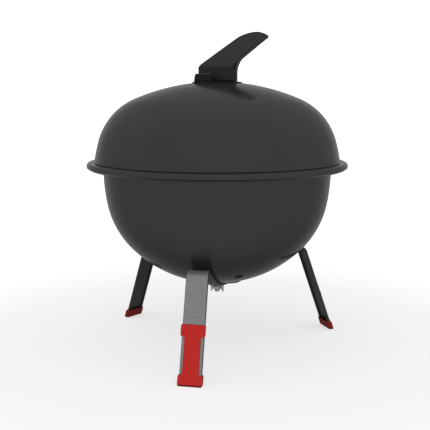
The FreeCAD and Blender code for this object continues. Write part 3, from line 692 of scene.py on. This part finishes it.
def bowl_profile():
    """Closed section (r, z) of the whole sheet: outside, rim and lip, step, inside."""
    centres = chain(BOWL_RADII, BOWL_ANGLES, BOWL_BOTTOM + BOWL_RADII[0])
    spans = ((-90.0, BOWL_ANGLES[0]), BOWL_ANGLES, (BOWL_ANGLES[1], 0.0))
    outside, inside = [], []
    for centre, radius, (first, last), step in zip(centres, BOWL_RADII, spans, (1.5, 1.5, 1.0)):
        outside += arc(centre, radius, first, last, step)[:-1]
        inside += arc(centre, radius - SHEET, first, last, step)[:-1]
    outer = centres[2][0] + BOWL_RADII[2]
    inner, top, base = outer - SHEET, RIM_Z + STEP_H, RIM_Z - SHEET
    outside.append((outer, centres[2][1]))
    inside.append((inner, centres[2][1]))
    outside[0], inside[0] = (0.0, outside[0][1]), (0.0, inside[0][1])
    rim = [
        (outer, top - SHEET, 1.2),
        (STEP_R - SHEET, top - SHEET, 1.2),
        (STEP_R - SHEET, base, 0.9),
        (RIM_R - SHEET, base, RIM_CORNER - SHEET),
        (RIM_R - SHEET, RIM_Z - HEM_TOP + 0.7, 0.6),
        (RIM_R - HEM_W - 0.7, RIM_Z - HEM_LOW + 1.0, 0.3),
        (RIM_R - HEM_W, RIM_Z - HEM_LOW, 0.3),
        (RIM_R, RIM_Z - HEM_TOP, 0.5),
        (RIM_R, RIM_Z, RIM_CORNER),
        (STEP_R, RIM_Z, 0.6),
        (STEP_R, top, 2.0),
        (inner, top, 2.0),
    ]
    points = [(*p, 0) for p in outside] + rim + [(*p, 0) for p in reversed(inside)]
    return fillet(points)


def lid_profile():
    """Closed section (r, z) of the whole sheet, down to its round edge above the rim."""
    centres = chain(LID_RADII, LID_ANGLES, LID_TOP - LID_RADII[0])
    low = RIM_Z + LID_GAP
    outside, inside = [], []
    for depth, line in ((0.0, outside), (SHEET, inside)):
        end = math.degrees(math.asin((low - centres[2][1]) / (LID_RADII[2] - depth)))
        spans = ((90.0, LID_ANGLES[0]), LID_ANGLES, (LID_ANGLES[1], end))
        for centre, radius, (first, last), step in zip(centres, LID_RADII, spans, (1.0, 1.5, 1.0)):
            line += arc(centre, radius - depth, first, last, step)[:-1]
        line.append(polar(centres[2], LID_RADII[2] - depth, end))
        line[0] = (0.0, line[0][1])
    edge = [(*outside.pop(), 0.45), (*inside.pop(), 0.45)]
    points = [(*p, 0) for p in outside] + edge + [(*p, 0) for p in reversed(inside)]
    return fillet(points)


def build_bowl():
    profile = bowl_profile()
    obj = make("bowl", *revolved(profile))
    cutters = []
    for yaw in BOWL_VENT_YAWS:
        spot = polar((0, 0), BOWL_VENT_CIRCLE, yaw)
        cutters.append(prism(circle(*spot, BOWL_VENT_R), *VENT_CUT))
    side = NECK_HOLE
    neck = [(-side, -side), (side, -side), (side, side), (-side, side)]
    cutters.append(prism(neck, *NECK_CUT))
    return cut_and_shade(obj, cutters, profile)


def build_lid():
    profile = lid_profile()
    obj = make("lid", *revolved(profile))
    cutters = []
    for yaw in LID_VENT_YAWS:
        spot = polar((0, 0), LID_VENT_CIRCLE, yaw)
        cutters.append(prism(circle(*spot, LID_VENT_R), *CROWN_CUT))
    for x in (SCREW_CIRCLE, -SCREW_CIRCLE):
        cutters.append(prism(circle(x, 0, SCREW_CLEAR, 32), *CROWN_CUT))
    return cut_and_shade(obj, cutters, profile)


def rounded_slab(half_width, thickness, radius, count=3):
    """Closed loop of (across, depth): a flat bar with rounded long edges."""
    w, t = half_width, thickness
    return fillet([(-w, 0, radius), (w, 0, radius), (w, t, radius), (-w, t, radius)], count)


def dish(radius, reach):
    """Point (r, z) of a sphere about the centre of the lid's crown."""
    return reach, LID_TOP - LID_RADII[0] + math.sqrt(radius * radius - reach * reach)


def build_damper_disc():
    under = LID_RADII[0] + DAMPER_GAP
    reaches = [DAMPER_HUB + (DAMPER_R - DAMPER_HUB) * k / 16 for k in range(17)]
    points = []
    for radius, line in ((under, reaches), (under + SHEET, reaches[::-1])):
        for reach in line:
            edge = 0.35 if reach in (reaches[0], reaches[-1]) else 0
            points.append((*dish(radius, reach), edge))
    profile = fillet(points, 3)
    disc = make("lid_damper_disc", *revolved(profile, 128))
    cutters = []
    for yaw in LID_VENT_YAWS:
        spot = polar((0, 0), LID_VENT_CIRCLE, yaw - DAMPER_YAW)
        cutters.append(prism(circle(*spot, LID_VENT_R), *CROWN_CUT))
    for flip in (0.0, 180.0):
        outer = arc((0, 0), SCREW_CIRCLE + SLOT_HALF, flip - SLOT_ANGLE, flip + SLOT_ANGLE, 5.0)
        inner = arc((0, 0), SCREW_CIRCLE - SLOT_HALF, flip + SLOT_ANGLE, flip - SLOT_ANGLE, 5.0)
        cutters.append(prism(outer + inner, *CROWN_CUT))
    far = DAMPER_R + 2
    chord = [(-far, -far), (far, -far), (far, -TAB_DISTANCE), (-far, -TAB_DISTANCE)]
    cutters.append(prism(chord, *CROWN_CUT))
    return cut_and_shade(disc, cutters, profile)


def tab_path():
    """Stations (y, z, tilt) of the tab's under face: out of the disc, round the bend and up."""
    under = LID_RADII[0] + DAMPER_GAP
    edge_z = dish(under, TAB_DISTANCE)[1]
    root = TAB_DISTANCE - TAB_ROOT
    path = [(-root, dish(under, root)[1], 0.0)]
    start_y, start_z = TAB_BEND + 0.2 - TAB_DISTANCE, edge_z + 0.15
    for k in range(9):
        a = math.radians(90.0 * k / 8)
        y = start_y - (TAB_BEND - 0.05) * math.sin(a)
        path.append((y, start_z + TAB_BEND * (1 - math.cos(a)), math.degrees(a)))
    y, z = path[-1][:2]
    path += [(y, z + (TAB_TOP - z) * k / 14, 90.0) for k in range(1, 15)]
    # More stations where the top's corners are rounded.
    fine = []
    for a, b in zip(path, path[1:]):
        fine.append(a)
        if b[1] > TAB_TOP - TAB_CORNER - 1:
            fine += [tuple(np.array(a) + (np.array(b) - np.array(a)) * s) for s in (0.33, 0.66)]
    fine.append(path[-1])
    return fine, edge_z


def build_damper_tab():
    """Bent strip from the disc's cut edge up to its top, narrower towards the top."""
    path, edge_z = tab_path()
    stations = []
    for y, z, tilt in path:
        share = max(0.0, (z - edge_z) / (TAB_TOP - edge_z))
        half = (TAB_BASE + (TAB_TIP - TAB_BASE) * share) / 2
        over = max(0.0, z - (TAB_TOP - TAB_CORNER))
        half -= TAB_CORNER - math.sqrt(max(TAB_CORNER * TAB_CORNER - over * over, 0.05))
        a = math.radians(tilt)
        normal = Vector((0, math.sin(a), math.cos(a)))
        loop = rounded_slab(half, SHEET, 0.4)
        stations.append([tuple(Vector((u, y, z)) + normal * t) for u, t in loop])
    tab = make("lid_damper_tab", *swept(stations))
    # The rim mark is the tab's top edge, where the painted highlight goes; the last two marks are
    # the middles of the ends.
    heights = np.array([z for station in stations for _, _, z in station])
    mark(tab, "rim", [*np.clip((heights - TAB_TOP + 1.3) / 0.5, 0, 1), 0.0, 1.0])
    return tab


def build_damper():
    disc, tab = build_damper_disc(), build_damper_tab()
    for obj in (disc, tab):
        turn_to(obj, DAMPER_YAW)
    return disc, tab


def handle_outline():
    """Side view of the handle; its ends run past the block, whose plan view trims them."""
    beyond = 4.0
    left, right = BLOCK_LEFT - beyond, BLOCK_RIGHT + beyond
    slope = (CREST[1] - BLOCK_TOP) / (CREST[0] - BLOCK_LEFT)
    centre = (0.0, LID_TOP - LID_RADII[0])
    radius = LID_RADII[0] + DAMPER_GAP + SHEET + UNDER_GAP
    reach = math.degrees(math.asin(right / radius))
    points = [(left, polar(centre, radius, 90 + reach)[1])]
    points += arc(centre, radius, 90 + reach - 0.5, 90 - reach, 1.0)
    points += [(right, THROAT_LOW - 6.0), (BLOCK_RIGHT, THROAT_LOW)]
    points += arc_through((BLOCK_RIGHT, THROAT_LOW), THROAT, THROAT_R, 1, 12)
    points += [THROAT, HEEL, *arc_through(HEEL, TIP, TIP_R, -1, 6)]
    points += [TIP, *arc_through(TIP, PEAK, BROW_R, -1, 8)]
    points += [PEAK, *arc_through(PEAK, CREST, CREST_R, -1, 10)]
    points += [CREST, (left, BLOCK_TOP - beyond * slope)]
    return points


def handle_crease(x):
    """Height of the line where the lever starts to lean back from the block."""
    return BLOCK_TOP - 0.3 + 7.0 * np.clip((x - 14.0) / 16.0, 0, 1) ** 2


def build_handle():
    profile = polygon_distance(handle_outline())
    taper = math.tan(math.radians(HANDLE_TAPER))
    draft = math.tan(math.radians(HANDLE_DRAFT))
    throat_h, throat_w = THROAT[1] - THROAT_LOW, THROAT[0] - BLOCK_RIGHT

    def right_end(z):
        """How far the plan view reaches to the right: past the throat, then past the lever."""
        rise = np.maximum(z - THROAT_LOW, 0)
        lever = throat_w + (rise - throat_h) * 1.3
        curve = np.where(rise < throat_h, rise * rise / 41.1, lever)
        return BLOCK_RIGHT + curve + np.minimum(rise * 0.4, HANDLE_CORNER + 2.0)

    def distance(p):
        x, y, z = p[:, 0], p[:, 1], p[:, 2]
        crease = handle_crease(x)
        above, below = np.maximum(z - crease, 0), np.maximum(crease - z, 0)
        across = np.abs(y) + above * taper + below * draft
        across = across + np.maximum(crease - BLOCK_TOP, 0) * taper
        dx = np.maximum(BLOCK_LEFT + HANDLE_CORNER - x, x - (right_end(z) - HANDLE_CORNER))
        dy = across - (HANDLE_HALF - HANDLE_CORNER)
        plan = np.hypot(np.maximum(dx, 0), np.maximum(dy, 0))
        plan = plan + np.minimum(np.maximum(dx, dy), 0) - HANDLE_CORNER
        side = profile(np.column_stack([x, z]))
        # The edge is sharp low on the block and at the throat, and soft everywhere else.
        edge = 0.5 + 1.3 * np.clip((z - HANDLE_LOW - 4.0) / 5.0, 0, 1)
        edge = edge * np.clip(np.hypot(x - BLOCK_RIGHT, z - THROAT_LOW) / 9.0, 0.06, 1)
        return both(side, plan, edge)

    points, faces, normals = net(distance, (-27.5, -16.2, 386.2), (75.0, 16.2, 457.0), 0.7)
    obj = make("lid_handle_grip", points, faces, normals)
    # The lever mark picks out where the painted lighter tone goes.
    share = np.clip((points[:, 2] - handle_crease(points[:, 0]) + 0.4) / 0.8, 0, 1)
    mark(obj, "lever", share)
    return obj


def leg_path():
    """Stations of the strip's outer face (x, z, normal x, normal z): arm, bend and leg."""
    arm_z, arm_radius = BOWL_BOTTOM + BOWL_RADII[0], BOWL_RADII[0] + ARM_GAP
    tilt = math.radians(LEG_ANGLE)
    level = BEND_TOP - BEND_R + BEND_R * math.sin(tilt)
    bend_x = LEG_REACH - level * math.tan(tilt) - BEND_R * math.cos(tilt)
    bend_z = BEND_TOP - BEND_R
    drop = arm_z - bend_z
    apart = math.acos((arm_radius + BEND_R) / math.hypot(bend_x, drop))
    slope = math.degrees(math.atan(bend_x / drop) - apart)
    first = math.degrees(math.asin(RAMP_END / arm_radius))
    path = []
    for k in range(25):
        a = math.radians(first + (slope - first) * k / 24)
        x, z = arm_radius * math.sin(a), arm_z - arm_radius * math.cos(a)
        path.append((x, z, -math.sin(a), math.cos(a)))
    for k in range(33):
        a = math.radians(90 + slope - (90 + slope - LEG_ANGLE) * k / 32)
        c, s = math.cos(a), math.sin(a)
        path.append((bend_x + BEND_R * c, bend_z + BEND_R * s, c, s))
    c, s = math.cos(tilt), math.sin(tilt)
    top = path[-1][1]
    for k in range(1, 13):
        z = top + (FOOT_FLOOR - top) * k / 12
        path.append((LEG_REACH - z * math.tan(tilt), z, c, s))
    return path


def leg_lead(layer, ramp_x, ramp_z):
    """Stations of the flat tab in the stack of arms and of the ramp up to the arm."""
    tab_z = STACK_TOP - layer * STACK_PITCH
    nose = (TAB_IN, TAB_IN + 1.0, TAB_IN + 3.0, TAB_IN + 6.0)
    lead = [(x, tab_z, 0.0, 1.0) for x in (*nose, 0.0, 12.0, 20.0, TAB_OUT)]
    for k in range(1, 12):
        s = k / 12
        x = TAB_OUT + (ramp_x - TAB_OUT) * s
        z = tab_z + (ramp_z - tab_z) * ease(s)
        lean = 4 * s * (1 - s) * (ramp_z - tab_z) / (ramp_x - TAB_OUT)
        length = math.hypot(1.0, lean)
        lead.append((x, z, -lean / length, 1 / length))
    return lead


def build_leg(name, layer, yaw):
    """Strip whose rails grow from its flat tab; the arm's end is rounded in plan view."""
    t = LEG_SHEET
    path = leg_path()
    stations, marks = [], []
    for x, z, nx, nz in leg_lead(layer, *path[0][:2]) + path:
        on_arm = z > 60
        grow = ease(min(1.0, max(0.0, (x - RAIL_START + 3) / 9.0))) if on_arm else 1.0
        fold = 0.5 + 1.7 * grow
        near = min(1.0, (x - TAB_IN) / 6.0) if x < TAB_IN + 6 else 1.0
        half = LEG_WIDTH / 2 - 6.0 + 6.0 * math.sqrt(max(0.0, 1 - (1 - near) ** 2))
        inner = half - t
        step = 0.02 + (LEG_DEPTH - t) * grow
        small = min(0.35, 0.45 * step)
        outer = min(0.35, 0.45 * step + 0.05)
        loop = section_loop([
            (-half, 0, fold, 5),
            (half, 0, fold, 5),
            (half, t + step, outer, 2),
            (inner, t + step, small, 2),
            (inner, t, small, 2),
            (-inner, t, small, 2),
            (-inner, t + step, small, 2),
            (-half, t + step, outer, 2),
        ])
        stations.append([(x - nx * d, u, z - nz * d) for u, d in loop])
        # Face mark: 1 on the outer face; 0 on the rails and the back, which get the painted shade.
        marks += [float(d < 0.25 * fold and abs(u) < half - 0.2 * fold) for u, d in loop]
    obj = make(f"{name}_leg_strip", *swept(stations))
    # The last two marks are the middles of the strip's ends.
    mark(obj, "face", marks + [0.0, 0.0])
    turn_to(obj, yaw)
    return obj


def section_loop(corners):
    """Loop of constant length: each corner gives its arc and two support points."""
    out = []
    count = len(corners)
    for i, (x, y, radius, steps) in enumerate(corners):
        here = Vector((x, y))
        a = (Vector(corners[i - 1][:2]) - here).normalized()
        b = (Vector(corners[(i + 1) % count][:2]) - here).normalized()
        centre = here + (a + b) * radius
        out.append(tuple(here + a * (radius + 0.006)))
        for k in range(steps + 1):
            s = math.pi / 2 * k / steps
            out.append(tuple(centre - b * radius * math.cos(s) - a * radius * math.sin(s)))
        out.append(tuple(here + b * (radius + 0.006)))
    return out


def plate(u, d, z, half, front, back, low, high, corner, edge):
    """Distance to an upright plate: front to back through its depth d, low to high along z."""
    qx = np.abs(u) - half + corner
    qz = np.maximum(low - z, z - high) + corner
    outline = np.hypot(np.maximum(qx, 0), np.maximum(qz, 0))
    outline = outline + np.minimum(np.maximum(qx, qz), 0) - corner
    return both(outline, np.maximum(-front - d, d - back), edge)


def build_foot(name, yaw, cuff_width):
    """Moulded sleeve in the leg's frame, where the leg's face looks along +X."""
    tilt = math.radians(LEG_ANGLE)
    c, t = math.cos(tilt), math.tan(tilt)
    wide = LEG_WIDTH / 2 + FOOT_WALL
    deep = LEG_DEPTH + FOOT_WALL

    def distance(p):
        u, z = p[:, 1], p[:, 2]
        d = (LEG_REACH - z * t - p[:, 0]) * c
        boot = plate(u, d, z, wide, FOOT_WALL, deep, 0.0, FOOT_H, 2.4, 0.9)
        # The web widens to the boot below it and to the cuff above it.
        flare = 2.6 * np.exp(-np.maximum(z - FOOT_H, 0) / 2.0)
        flare = flare + 1.0 * np.exp(-np.maximum(CUFF_LOW - z, 0) / 1.0)
        half = WEB_W / 2 + flare
        web = plate(u, d, z, half, FOOT_WALL, 0.1, FOOT_H - 3, CUFF_LOW + 3, 0.7, 0.6)
        half = cuff_width / 2
        cuff = plate(u, d, z, half, FOOT_WALL, CUFF_LIP, CUFF_LOW, CUFF_HIGH, 2.4, 1.0)
        solid = either(either(boot, web, 0.4), cuff, 0.4)
        room = np.maximum(np.abs(u) - LEG_WIDTH / 2, np.maximum(-d, d - LEG_DEPTH))
        room = np.maximum(room, FOOT_FLOOR - z)
        return both(solid, -room, 0.25)

    points, faces, normals = net(distance, (160.0, -17.5, -0.6), (192.6, 17.5, 75.0), 0.5)
    obj = make(f"{name}_foot_boot", points, faces, normals)
    # Face mark: faces turned in under the bowl and the band below SOLE_H get the painted shade's
    # dark red.
    facing = normals[:, 0] * c + normals[:, 2] * math.sin(tilt)
    above_sole = np.clip((points[:, 2] - SOLE_H) / 0.6, 0, 1)
    mark(obj, "face", np.clip((facing + 0.1) / 0.95, 0, 1) * above_sole)
    turn_to(obj, yaw)
    return obj


def build_wing_nut():
    def distance(p):
        x, y, z = p[:, 0], p[:, 1], p[:, 2] - NUT_TOP
        r = np.hypot(x, y)
        cone = np.maximum(r - (NUT_HUB_R + 0.23 * z), NUT_BORE - r)
        hub = both(cone, np.maximum(z, -NUT_HUB_H - z), 0.4)
        ax = np.abs(x)
        high = np.maximum(z + 0.6, (ax - NUT_HUB_R) * 0.35 + (z + 0.6) * 0.94)
        outer = np.maximum(ax - 9.9, -z - 11.0)
        inner = 4.6 - ax
        under = (-z - 5.5) * 0.8 - (ax - 5.0) * 1.1
        plan = np.maximum(np.maximum(high, outer), np.maximum(inner, under))
        wing = both(plan, np.abs(y) - 1.1, 0.6)
        return np.maximum(either(hub, wing, 0.5), NUT_BORE - r)

    points, faces, normals = net(distance, (-10.6, -7.6, 74.2), (10.6, 7.6, 86.2), 0.35)
    return make("wing_nut_cast", points, faces, normals)


def grate(prefix, z, ring, brace_y, rods):
    """Ring with two braces, and the rods across the top."""
    turns = [2 * math.pi * k / 160 for k in range(160)]
    loop = [(ring * math.cos(a), ring * math.sin(a), z) for a in turns]
    frame_parts = [wire(loop, RING_WIRE, 16, closed=True)]
    for y in (brace_y, -brace_y):
        half = math.sqrt(ring * ring - y * y)
        line = [(-half, y, z), (0, y, z), (half, y, z)]
        frame_parts.append(wire(line, RING_WIRE, 16, domed=False))
    rod_parts = []
    rod_z = z + RING_WIRE + ROD_WIRE - WELD
    for k in range(rods):
        x = (k - (rods - 1) // 2) * ROD_PITCH
        half = math.sqrt(ring * ring - x * x) + 1.0
        rod_parts.append(wire([(x, -half, rod_z), (x, 0, rod_z), (x, half, rod_z)], ROD_WIRE))
    return (
        make(f"{prefix}_frame_wires", *merged(frame_parts)),
        make(f"{prefix}_rod_wires", *merged(rod_parts)),
    )


def grip(side, sign):
    """Hoop of wire that stands on the cooking grate's rods."""
    low = GRATE_Z + RING_WIRE + 2 * ROD_WIRE - 3 * WELD
    shoulder = GRIP_TOP - GRIP_BEND
    line = [(-GRIP_HALF, low), (-GRIP_HALF, shoulder - 8)]
    line += arc((GRIP_BEND - GRIP_HALF, shoulder), GRIP_BEND, 180, 90, 10.0)
    line += arc((GRIP_HALF - GRIP_BEND, shoulder), GRIP_BEND, 90, 0, 10.0)
    line += [(GRIP_HALF, shoulder - 8), (GRIP_HALF, low)]
    points = [(sign * GRIP_X, y, z) for y, z in line]
    tube = wire(points, ROD_WIRE, domed=False, across=Vector((1, 0, 0)))
    return make(f"cooking_grate_{side}_hoop", *tube)


def show_node(label, material, width):
    """Show a CAD node as it is, with its edges softened and a material."""
    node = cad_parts[label]
    paint(node, material)
    modifier = node.modifiers.new("soft_edges", "BEVEL")
    modifier.width = width
    modifier.segments = 2
    modifier.limit_method = "ANGLE"
    modifier.angle_limit = math.radians(40)
    modifier.harden_normals = True


def build_world():
    """Soft studio surroundings: bright in front and above, dim behind and below."""
    world = bpy.data.worlds.new("studio")
    bpy.context.scene.world = world
    world.use_nodes = True
    tree = world.node_tree
    background = tree.nodes["Background"]
    place = tree.nodes.new("ShaderNodeTexCoord")

    def cosine(direction, limits):
        """Cosine of the angle to a direction, mapped by From Min, From Max, To Min, To Max."""
        product = tree.nodes.new("ShaderNodeVectorMath")
        product.operation = "DOT_PRODUCT"
        product.inputs[1].default_value = direction
        tree.links.new(place.outputs["Generated"], product.inputs[0])
        share = tree.nodes.new("ShaderNodeMapRange")
        for key, number in zip(("From Min", "From Max", "To Min", "To Max"), limits):
            share.inputs[key].default_value = number
        tree.links.new(product.outputs["Value"], share.inputs["Value"])
        return share.outputs["Result"]

    ramp = tree.nodes.new("ShaderNodeValToRGB")
    tree.links.new(cosine(WORLD_AIM, (-1.0, 1.0, 0.0, 1.0)), ramp.inputs["Fac"])
    stops = ramp.color_ramp.elements
    while len(stops) < len(WORLD_STOPS):
        stops.new(0.5)
    for stop, (aimed, level) in zip(stops, WORLD_STOPS):
        stop.position = (aimed + 1) / 2
        stop.color = (level, level, level, 1)
    tree.links.new(ramp.outputs["Color"], background.inputs["Color"])
    tree.links.new(cosine(WORLD_UNDER, WORLD_DIM), background.inputs["Strength"])


def build_stage():
    """Paper floor that curves up into a dome; it is seen but neither reflected nor a light."""
    line = [(0.0, 0.0), (0.3, 0.0), (1.5, 0.0), (PAPER_R - PAPER_BEND, 0.0)]
    line += arc((PAPER_R - PAPER_BEND, PAPER_BEND), PAPER_BEND, -90.0, 0.0, 6.0)[1:]
    line += arc((0.0, PAPER_BEND), PAPER_R, 0.0, 90.0, 6.0)[1:]
    line = [(r / MM, (z - FLOOR_DROP) / MM) for r, z in line]
    vertices, faces = revolved(line, 96)
    sweep = make("studio_paper", vertices, [face for face in faces if len(set(face)) > 2])
    sweep.data.materials.append(paper("paper", PAPER_TONE, PAPER_GLOW))
    sweep.visible_glossy = False
    sweep.visible_diffuse = False
    sweep.visible_shadow = False


def build_camera():
    data = bpy.data.cameras.new("camera")
    data.lens, data.sensor_width = CAMERA_LENS, CAMERA_SENSOR
    camera = bpy.data.objects.new("camera", data)
    bpy.context.scene.collection.objects.link(camera)
    camera.location = CAMERA_AT
    pitch = math.radians(CAMERA_PITCH)
    level = [part * math.cos(pitch) for part in CAMERA_HEADING]
    camera.rotation_mode = "QUATERNION"
    camera.rotation_quaternion = Vector((*level, math.sin(pitch))).to_track_quat("-Z", "Y")
    bpy.context.scene.camera = camera


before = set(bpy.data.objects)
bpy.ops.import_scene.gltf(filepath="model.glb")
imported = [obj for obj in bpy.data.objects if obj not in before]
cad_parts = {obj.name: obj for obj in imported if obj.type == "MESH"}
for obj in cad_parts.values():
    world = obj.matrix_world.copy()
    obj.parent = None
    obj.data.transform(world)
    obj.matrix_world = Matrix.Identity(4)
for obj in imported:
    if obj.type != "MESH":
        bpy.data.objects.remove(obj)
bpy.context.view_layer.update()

black = enamel("black_enamel", (0.0100, 0.0100, 0.0102))
damper_black = steel_black("black_steel")
grip_nylon = nylon("black_nylon")
grey = leg_paint("grey_leg_paint")
red = boot_red("red_moulding")
plated = zinc("zinc_plate")
chrome = wire_metal("chrome_wire", (0.50, 0.50, 0.51), (0.62, 0.62, 0.63), 0.10, 0.20)
bright = wire_metal("steel_wire", (0.16, 0.16, 0.165), (0.26, 0.26, 0.265), 0.32, 0.48)

BOWL_NODES = ("bowl_base", "bowl_side", "bowl_wall", "bowl_rim")
LID_NODES = ("lid_crown", "lid_shoulder", "lid_wall")
dress(build_bowl(), "root", black, "black_enamel", *BOWL_NODES)
dress(build_lid(), "lid", black, "black_enamel", *LID_NODES)
damper_disc, damper_tab = build_damper()
dress(damper_disc, "damper", damper_black, "black_steel", "lid_damper")
dress(damper_tab, "damper", damper_black, "black_steel", "lid_damper")
dress(build_handle(), "lid", grip_nylon, "black_nylon", "lid_handle")
for number, (leg_name, leg_yaw) in enumerate(LEG_YAWS.items()):
    dress(build_leg(leg_name, number, leg_yaw), "root", grey, "grey_leg", f"{leg_name}_leg")
    foot = build_foot(leg_name, leg_yaw, CUFF_WIDTH if leg_name == "front" else BACK_CUFF_WIDTH)
    dress(foot, "root", red, "red_boot", f"{leg_name}_foot")
dress(build_wing_nut(), "wing_nut", plated, "zinc_steel", "wing_nut")
for prefix, body, z, ring, brace, rods, metal, slot in (
    ("cooking_grate", "cooking_grate", GRATE_Z, GRATE_RING, 60.0, 21, chrome, "chrome_wire"),
    ("charcoal_grate", "charcoal_grate", COAL_Z, COAL_RING, 45.0, 17, bright, "steel_wire"),
):
    wires, bars = grate(prefix, z, ring, brace, rods)
    dress(wires, body, metal, slot, f"{prefix}_ring", f"{prefix}_braces")
    dress(bars, body, metal, slot, f"{prefix}_rods")
for side, sign in (("right", 1), ("left", -1)):
    hoop = grip(side, sign)
    dress(hoop, "cooking_grate", chrome, "chrome_wire", f"cooking_grate_{side}_grip")
for label in (
    "center_bolt", "bolt_washer", "hub_washer", "handle_screws", "handle_spacers", "handle_washers"
):
    show_node(label, plated, 0.00025)
for number in (1, 2, 3):
    show_node(f"grate_bracket_{number}", damper_black, 0.0003)

build_world()
build_stage()
build_camera()
bpy.context.scene.view_settings.view_transform = "Standard"
